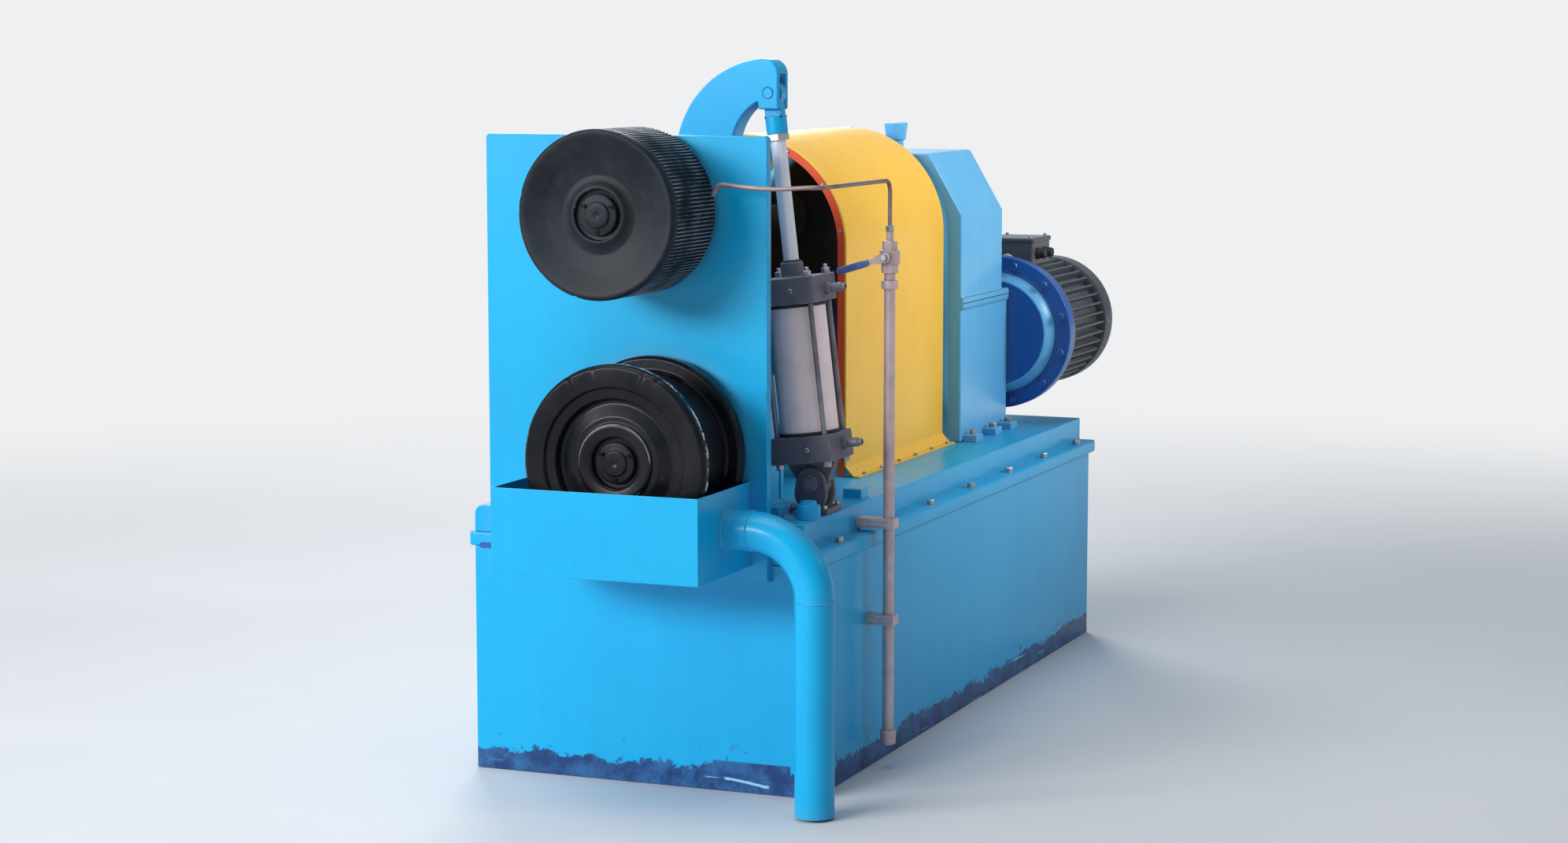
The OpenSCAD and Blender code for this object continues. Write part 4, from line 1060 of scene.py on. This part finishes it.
def air_port(name, along):
    """A hexagon adapter in the cap's outer side, and a long round push-in collar with a release ring."""
    face = on_ram(0.075, 0.010, along)
    nut(name + "_hexagon", [(-0.002, 0.0145, 0.0126), (0.010, 0.0145, 0.0126), (0.012, 0.0130, 0.0118)],
        face, RAM_ACROSS, 0.3, "dull_zinc", RAM)
    collar = [(0.011, 0.0105), (0.036, 0.0110), (0.039, 0.0102), (0.039, 0.0080), (0.046, 0.0084),
              (0.049, 0.0076), (0.049, 0.0048), (0.034, 0.0042)]
    lathe(name + "_collar", face, RAM_ACROSS, collar, "dull_zinc", RAM, 28, 0.0008)


air_port("end_port", CAP_START + 0.034)
air_port("head_port", HEAD_START + 0.028)
screws("cap_plugs", [on_ram(0.020, -0.075, start + 0.031) for start in (CAP_START, HEAD_START)], OUT, 0.012,
       body=RAM, form=socket_form)
print("cylinder fitted")

# %% Pins, lock nut and bracket
for name, centre, reach, way, body in (("foot_pin_front", FOOT_PIN, 0.0355, -1, "root"),
                                       ("foot_pin_back", FOOT_PIN, 0.0355, 1, "root"),
                                       ("fork_pin_back", ROD_PIN, 0.0330, 1, "arm")):
    lathe(name + "_washer", (centre[0], RAM_Y + way * reach, centre[1]), (0, way, 0),
          [(0.0, 0.020), (0.0025, 0.020)], "dull_zinc", body, 32, 0.0005, 0.0125)
nut("rod_lock_nut", [(0.0, 0.0300, 0.0262), (0.013, 0.0300, 0.0262), (0.015, 0.0275, 0.0250)],
    on_ram(0, 0, 0.7972), RAM_UP, 0.4, body="rod")
screws("bracket_screws", [(FOOT_PIN[0] + a, RAM_Y + b, BED_TOP + 0.014) for a in (-0.039, 0.039)
                          for b in (-0.0395, 0.0395)], UP, 0.012, form=socket_form)
print("pins done")

# %% [markdown]
# ## Water line
#
# The cooling water comes up a zinc coated pipe to a ball valve, and a thin tube takes it forward and across
# to the upper roll. The lever is a steel strap with a dipped vinyl grip; it hangs a little open.

# %% Valve lever
LEVER_DROP = math.radians(17.0)
LEVER_RUN = np.array([-math.cos(LEVER_DROP), -math.sin(LEVER_DROP)])
LEVER_SIDE = np.array([-math.sin(LEVER_DROP), math.cos(LEVER_DROP)])
LEVER_Y = WATER[1] - 0.034
LEVER = "valve_handle"


def on_lever(run, side):
    """Point in X and Z = valve centre + run along the lever + side square to it."""
    stem = np.array([WATER[0], VALVE_Z])
    return stem + np.multiply.outer(run, LEVER_RUN) + np.multiply.outer(side, LEVER_SIDE)


def lever_strap():
    """A flat strap, round at the stem end, that narrows towards the grip."""
    angle = np.linspace(-math.pi / 2, math.pi / 2, 13)
    run = np.array([0.016, 0.030, 0.118, 0.118, 0.030, 0.016])
    side = np.array([0.0105, 0.0065, 0.0065, -0.0065, -0.0065, -0.0105])
    return np.vstack([on_lever(-0.012 * np.cos(angle), 0.012 * np.sin(angle)), on_lever(run, side)])


def lever_grip(rows=25, sides=20):
    """Rounded rectangle sections along the lever, with fine ribs over the middle.
    Half sizes follow the fourth root of one less x to the sixth."""
    along = np.linspace(-1, 1, rows)
    fill = np.clip(1 - along ** 6, 0.02, 1) ** 0.25
    angle = around(sides)
    square = (np.abs(np.cos(angle)) ** 4 + np.abs(np.sin(angle)) ** 4) ** -0.25
    ribs = 1 + 0.05 * np.cos(along * 34.0) * (np.abs(along) < 0.75)
    side = 0.0088 * (fill * ribs)[:, None] * (square * np.cos(angle))[None]
    depth = 0.0058 * (fill * ribs)[:, None] * (square * np.sin(angle))[None]
    flat = on_lever(np.repeat(0.082 + 0.043 * along[:, None], sides, 1).ravel(), side.ravel())
    verts = np.stack([flat[:, 0], LEVER_Y - 0.002 + depth.ravel(), flat[:, 1]], 1)
    return verts, grid_faces(rows, sides) + lids(rows, sides)


strap = slab("valve_lever_strap", lever_strap(), "y", LEVER_Y - 0.004, LEVER_Y, "galvanised", LEVER, 0.0006)
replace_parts(strap, "valve_lever")
make("valve_lever_grip", lever_grip(), "grip_vinyl", LEVER, smooth=60.0)
screws("valve_stem_nut", [(WATER[0], LEVER_Y - 0.004, VALVE_Z)], OUT, 0.013, body=LEVER)
print("lever made")

# %% Spray tube and pipe fittings
SPRAY_Y, SPRAY_Z, TIP_X, VALVE_TOP = FRONT - 0.100, BED_TOP + 0.768, 0.226, VALVE_Z + 0.060
HOOK = 0.020


def spray_path():
    """Up from the valve, forward over the plate and across to the roll.
    On the last run the height sags by a sine of the way along, and its end is bent down at the roll."""
    path = bend_path([(*WATER, VALVE_TOP), (*WATER, SPRAY_Z), (WATER[0], SPRAY_Y, SPRAY_Z),
                      (TIP_X + 0.026, SPRAY_Y, SPRAY_Z)], 0.032, 11)
    t = np.linspace(0, 1, 16)[1:, None]
    across = path[-2] * (1 - t) + path[-1] * t
    across[:, 2] += 0.0040 * t[:, 0] - 0.0060 * np.sin(math.pi * t[:, 0])
    turn = np.linspace(0, math.radians(62), 9)[1:]
    hook = across[-1] + np.stack([-HOOK * np.sin(turn), 0 * turn, -HOOK * (1 - np.cos(turn))], 1)
    end = hook[-1] + np.array([-0.016 * math.cos(turn[-1]), 0, -0.016 * math.sin(turn[-1])])
    return np.vstack([path[:-1], across, hook, end[None]])


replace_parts(tube("spray_line", spray_path(), 0.005, "spray_copper", 16, (0.3, 0.2, 0.9)), "spray_tube")
nut("spray_nut", [(0.0, 0.0105, 0.0091), (0.012, 0.0105, 0.0091), (0.014, 0.0090, 0.0082)],
    (*WATER, VALVE_TOP), UP, 0.2)
for name, z, reach, height in (("pipe_socket_low", 0.062, 0.0180, 0.034),
                               ("pipe_union", VALVE_Z - 0.075, 0.0190, 0.020)):
    lathe(name, (*WATER, z), UP, [(0.0, reach), (height * 0.2, reach + 0.001), (height * 0.8, reach + 0.001),
                                  (height, reach)], "galvanised", sides=36, radius=0.001, bore=0.0136)


def clip_bolts(name, z, wall_x, reach=0.0165):
    """Two U-bolts over the pipe at one clip: half a circle with two straight legs."""
    bend = spokes(np.linspace(-math.pi / 2, math.pi / 2, 17), *np.eye(3)[:2]) * reach + (*WATER, z)
    for k, dz in enumerate((0.006, 0.018)):
        legs = [(wall_x + 0.006, y, z) for y in (bend[0, 1], bend[-1, 1])]
        path = np.vstack([legs[0], bend, legs[1]]) + (0, 0, dz)
        tube(f"{name}_bolt_{k}", path, 0.0024, "zinc_bolt", 8)


clip_bolts("low_clip", 0.350, BASE_RIGHT)
clip_bolts("bed_clip", FLANGE_TOP + 0.010, FLANGE_RIGHT - 0.020)
print("water line done")

# %% [markdown]
# ## Drain
#
# The tray's drain is a welded bend of thin pipe. Each joint of the bend has a ring of weld, and the pipe
# meets the tray's side in a thicker bead.

# %% Drain pipe beads
DRAIN_Y, DRAIN_Z, DRAIN_START, DRAIN_X = -1.260, BED_TOP + 0.006, 0.346, 0.496
ring_bead("drain_tray_bead", (TRAY_RIGHT + 0.001, DRAIN_Y, DRAIN_Z), RIGHT, 0.0455, 0.0045)
ring_bead("drain_bend_bead", (DRAIN_START, DRAIN_Y, DRAIN_Z), RIGHT, 0.0448, 0.0028)
ring_bead("drain_down_bead", (DRAIN_X, DRAIN_Y, DRAIN_Z - 0.150), UP, 0.0448, 0.0028)
print("drain beads laid")

# %% [markdown]
# ## Shafts and couplings behind the stand
#
# Each drive line has a two-part coupling with a rubber ring between the halves and a set screw in each
# hub. The shafts run on to the gearbox under the guard.

# %% Couplings
COUPLING_MID, HALF_GAP = FRONT + 0.595, 0.0039
for name, axis, body in (("lower", LOWER, "lower_roll_set"), ("upper", PIVOT, "upper_drive")):
    lathe(name + "_coupling_ring", (axis[0], COUPLING_MID - HALF_GAP, axis[1]), BACK,
          [(0.0, 0.0600), (HALF_GAP, 0.0612), (2 * HALF_GAP, 0.0600)], "seal_rubber", body, 56, 0.001, 0.0553)
    for k, y in enumerate((COUPLING_MID - 0.052, COUPLING_MID + 0.052)):
        screws(f"{name}_set_screw_{k}", [(axis[0], y, axis[1] + 0.055)], UP, 0.009,
               body=body, form=socket_form)
print("couplings done")

# %% [markdown]
# ## Guard, gearbox and motor
#
# The guard is bolted down through the lips of its feet. The gearbox is split at the height of its
# shafts, with a row of bolts along the flange, round covers over the bearings, an inspection plate, a
# vent and a lifting eye on top, and an oil glass and a drain plug on the far side.

# %% Guard fasteners
GUARD_FRONT, GUARD_BACK, RING = FRONT + 0.756, FRONT + 1.500, 0.266
along = np.linspace(GUARD_FRONT + 0.05, GUARD_BACK - 0.05, 6)
for side, x in (("right", GUARD_X + 0.311), ("left", GUARD_X - 0.311)):
    screws(f"guard_{side}_screws", [(x, y, BED_TOP + 0.005) for y in along], UP, 0.009)
angle = np.linspace(0.15, math.pi - 0.15, 7)
screws("guard_ring_screws", np.stack([GUARD_X + RING * np.cos(angle), np.full(7, GUARD_FRONT),
                                      ARCH_Z + RING * np.sin(angle)], 1), OUT, 0.007, form=socket_form)
print("guard bolted")

# %% Gearbox fittings
GEAR_LEFT, GEAR_RIGHT, GEAR_TOP, SPLIT = GUARD_X - 0.325, GUARD_X + 0.325, BED_TOP + 0.791, BED_TOP + 0.383
screws("split_bolts_back", [(x, GEAR_BACK + 0.026, SPLIT + 0.016) for x in np.linspace(-0.350, 0.030, 5)],
       UP, 0.016)
for side, x in (("left", GEAR_LEFT - 0.0062), ("right", GEAR_RIGHT + 0.0062)):
    tube("split_seam_" + side, [(x, GEAR_FRONT + 0.002, SPLIT), (x, HALF_BACK - 0.002, SPLIT)], 0.0011,
         "seal_rubber", 6)


def round_cover(name, axis, y, reach, count):
    """A stepped bearing cover on the rear face, with its ring of bolts."""
    lathe(name, (axis[0], y, axis[1]), BACK,
          [(-0.001, reach), (0.012, reach), (0.014, reach - 0.003), (0.014, reach * 0.62),
           (0.020, reach * 0.55)], "drive_blue")
    screws(name + "_bolts", on_circle(axis, reach * 0.81, count, y + 0.014, 0.3), BACK, 0.012)


def lifting_eye(name, foot, size, finish):
    """An eye bolt: a round collar and shank, and a ring standing on it, a circle turned once round."""
    lathe(name + "_shank", foot, UP,
          [(-0.001, size * 0.62), (size * 0.16, size * 0.66), (size * 0.26, size * 0.52),
           (size * 0.5, size * 0.30), (size * 0.8, size * 0.24)], finish, sides=28)
    turn, ring = around(36)[:, None], around(12)[None]
    reach = size * (0.72 + 0.22 * np.cos(ring))
    x, z = reach * np.cos(turn), reach * np.sin(turn) + size * 1.36
    y = np.broadcast_to(size * 0.22 * np.sin(ring), x.shape)
    grid = np.stack([x, y, z], -1) + np.asarray(foot, float)
    make(name + "_ring", (grid, grid_faces(36, 12, True)), finish, smooth=60.0)


round_cover("upper_shaft_cover", PIVOT, GEAR_BACK, 0.088, 8)
round_cover("idler_shaft_cover", (-0.215, BED_TOP + 0.186), HALF_BACK, 0.078, 6)
pad("inspection_plate", -0.215, -0.075, 0.605, 0.745, GEAR_TOP - 0.001, GEAR_TOP + 0.007, "drive_blue")
screws("inspection_screws", [(x, y, GEAR_TOP + 0.007) for x in (-0.203, -0.087)
                             for y in (0.617, 0.675, 0.733)], UP, 0.009, form=socket_form)
lifting_eye("gearbox_eye", (-0.105, 0.540, GEAR_TOP), 0.030, "drive_blue")
GLASS_Y, GLASS_Z = 0.600, BED_TOP + 0.216
lathe("oil_glass", (GEAR_LEFT, GLASS_Y, GLASS_Z), LEFT,
      [(-0.001, 0.027), (0.006, 0.027), (0.008, 0.025), (0.008, 0.018), (0.004, 0.0165)],
      "zinc_bolt", sides=40)
lathe("oil_glass_pane", (GEAR_LEFT - 0.0042, GLASS_Y, GLASS_Z), LEFT,
      [(0.0, 0.0162), (0.0012, 0.0155), (0.0018, 0.0)], "seal_rubber", sides=32, radius=0.0004)
screws("gearbox_drain_plug", [(GEAR_LEFT, 0.500, BED_TOP + 0.056)], LEFT, 0.026)
print("gearbox covers, plate, eye and glass placed")

# %% Gearbox feet and vent
FOOT_PLACES, PAD_TOP = (0.470, 0.640, 0.780), BED_TOP + 0.020
for k, y in enumerate(FOOT_PLACES):
    for side, x0, x1 in (("right", GEAR_RIGHT - 0.002, GEAR_RIGHT + 0.040),
                         ("left", GEAR_LEFT - 0.040, GEAR_LEFT + 0.002)):
        pad(f"gear_foot_{side}_{k}", x0, x1, y - 0.030, y + 0.030, BED_TOP - 0.001, PAD_TOP, "drive_blue")
screws("gear_foot_bolts", [(x, y, PAD_TOP) for y in FOOT_PLACES
                           for x in (GEAR_LEFT - 0.021, GEAR_RIGHT + 0.021)], UP, 0.018)
lathe("vent_cap", (0.031, 0.540, GEAR_TOP + 0.0775), UP,
      [(0.0, 0.0325), (0.002, 0.031), (0.004, 0.012), (0.0045, 0.0)], "drive_blue", sides=40)
print("gearbox fitted")

# %% [markdown]
# ### Motor
#
# A cone in the gearbox's blue carries a thick ring in deep blue, and the motor's own flange is bolted
# to it. The fan cover ends in a recessed grille of concentric rings on four bars.

# %% Motor flange
def on_motor(y):
    return MOTOR[0], y, MOTOR[1]


lathe("adapter_cone", on_motor(HALF_BACK), BACK,
      [(0.0005, 0.149), (0.0005, 0.1525), (0.0315, 0.1745), (0.0319, 0.170), (0.0005, 0.149)], "drive_blue",
      sides=96, radius=0.0006)
ring_bead("adapter_ring_bead", on_motor(HALF_BACK + 0.0315), BACK, 0.1755, 0.0035, "deep_blue")
screws("adapter_bolts", on_circle(MOTOR, 0.198, 12, HALF_BACK + 0.032, 0.26), OUT, 0.019, "deep_blue")
screws("motor_flange_nuts", on_circle(MOTOR, 0.201, 12, MOTOR_START + 0.022, 0.26), BACK, 0.017, "deep_blue")
print("motor flange bolted")

# %% Fan cover and grille
FAN_START, FAN_END, FAN_RIM, WIRE = MOTOR_START + 0.420, MOTOR_START + 0.520, 0.189, 0.002
fan_cover = lathe("fan_cover", on_motor(FAN_START), BACK,
                  [(0.0, FAN_RIM), (0.070, FAN_RIM), (0.086, 0.184), (0.100, 0.169), (0.100, 0.152),
                   (0.088, 0.150)], "motor_grey", sides=96, radius=0.004)
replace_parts(fan_cover, "motor_fan_cover")
for k, reach in enumerate(np.linspace(0.030, 0.144, 9)):
    lathe(f"grille_ring_{k}", on_motor(FAN_END - 0.0046), BACK,
          [(0.0, reach + WIRE), (2 * WIRE, reach + WIRE)], "motor_grey",
          sides=72, radius=0.0012, bore=reach - WIRE)
for k, turn in enumerate((0.785, 2.356, 3.927, 5.498)):
    c, s = math.cos(turn), math.sin(turn)
    bar = [(MOTOR[0] + c * r, FAN_END - 0.0070, MOTOR[1] + s * r) for r in (0.022, 0.150)]
    tube(f"grille_bar_{k}", bar, 0.003, "motor_grey", 8, BACK)
lathe("grille_hub", on_motor(FAN_END - 0.011), BACK,
      [(0.0, 0.024), (0.008, 0.024), (0.0095, 0.0)], "motor_grey", sides=36)
screws("fan_cover_screws", [(MOTOR[0] + FAN_RIM, FAN_START + 0.014, MOTOR[1])], RIGHT, 0.008,
       form=socket_form)
print("motor end done")

# %% Terminal box and eye
BOX_TOP = MOTOR[1] + 0.185 + 0.072
x0, x1, y0, y1 = MOTOR[0] - 0.070, MOTOR[0] + 0.070, MOTOR_START + 0.060, MOTOR_START + 0.230
pad("terminal_lid", x0 - 0.003, x1 + 0.003, y0 - 0.003, y1 + 0.003, BOX_TOP - 0.006, BOX_TOP + 0.008,
    "motor_grey", 0.004)
screws("terminal_lid_screws", [(x, y, BOX_TOP + 0.008) for x in (x0 + 0.012, x1 - 0.012)
                               for y in (y0 + 0.012, y1 - 0.012)], UP, 0.010, form=socket_form)
for k, y in enumerate((MOTOR_START + 0.105, MOTOR_START + 0.175)):
    lathe(f"cable_gland_{k}", (x1 - 0.001, y, BOX_TOP - 0.038), RIGHT,
          [(0.0, 0.017), (0.008, 0.017), (0.009, 0.0145), (0.024, 0.0140), (0.028, 0.011)],
          "seal_rubber", sides=28)
lifting_eye("motor_eye", (MOTOR[0], MOTOR_START + 0.040, MOTOR[1] + 0.161), 0.026, "zinc_bolt")
print("terminal box done")

# %% Solids left plain
for node, obj in frame["nodes"].items():
    if not obj.hide_render:
        print("still a plain solid:", node)
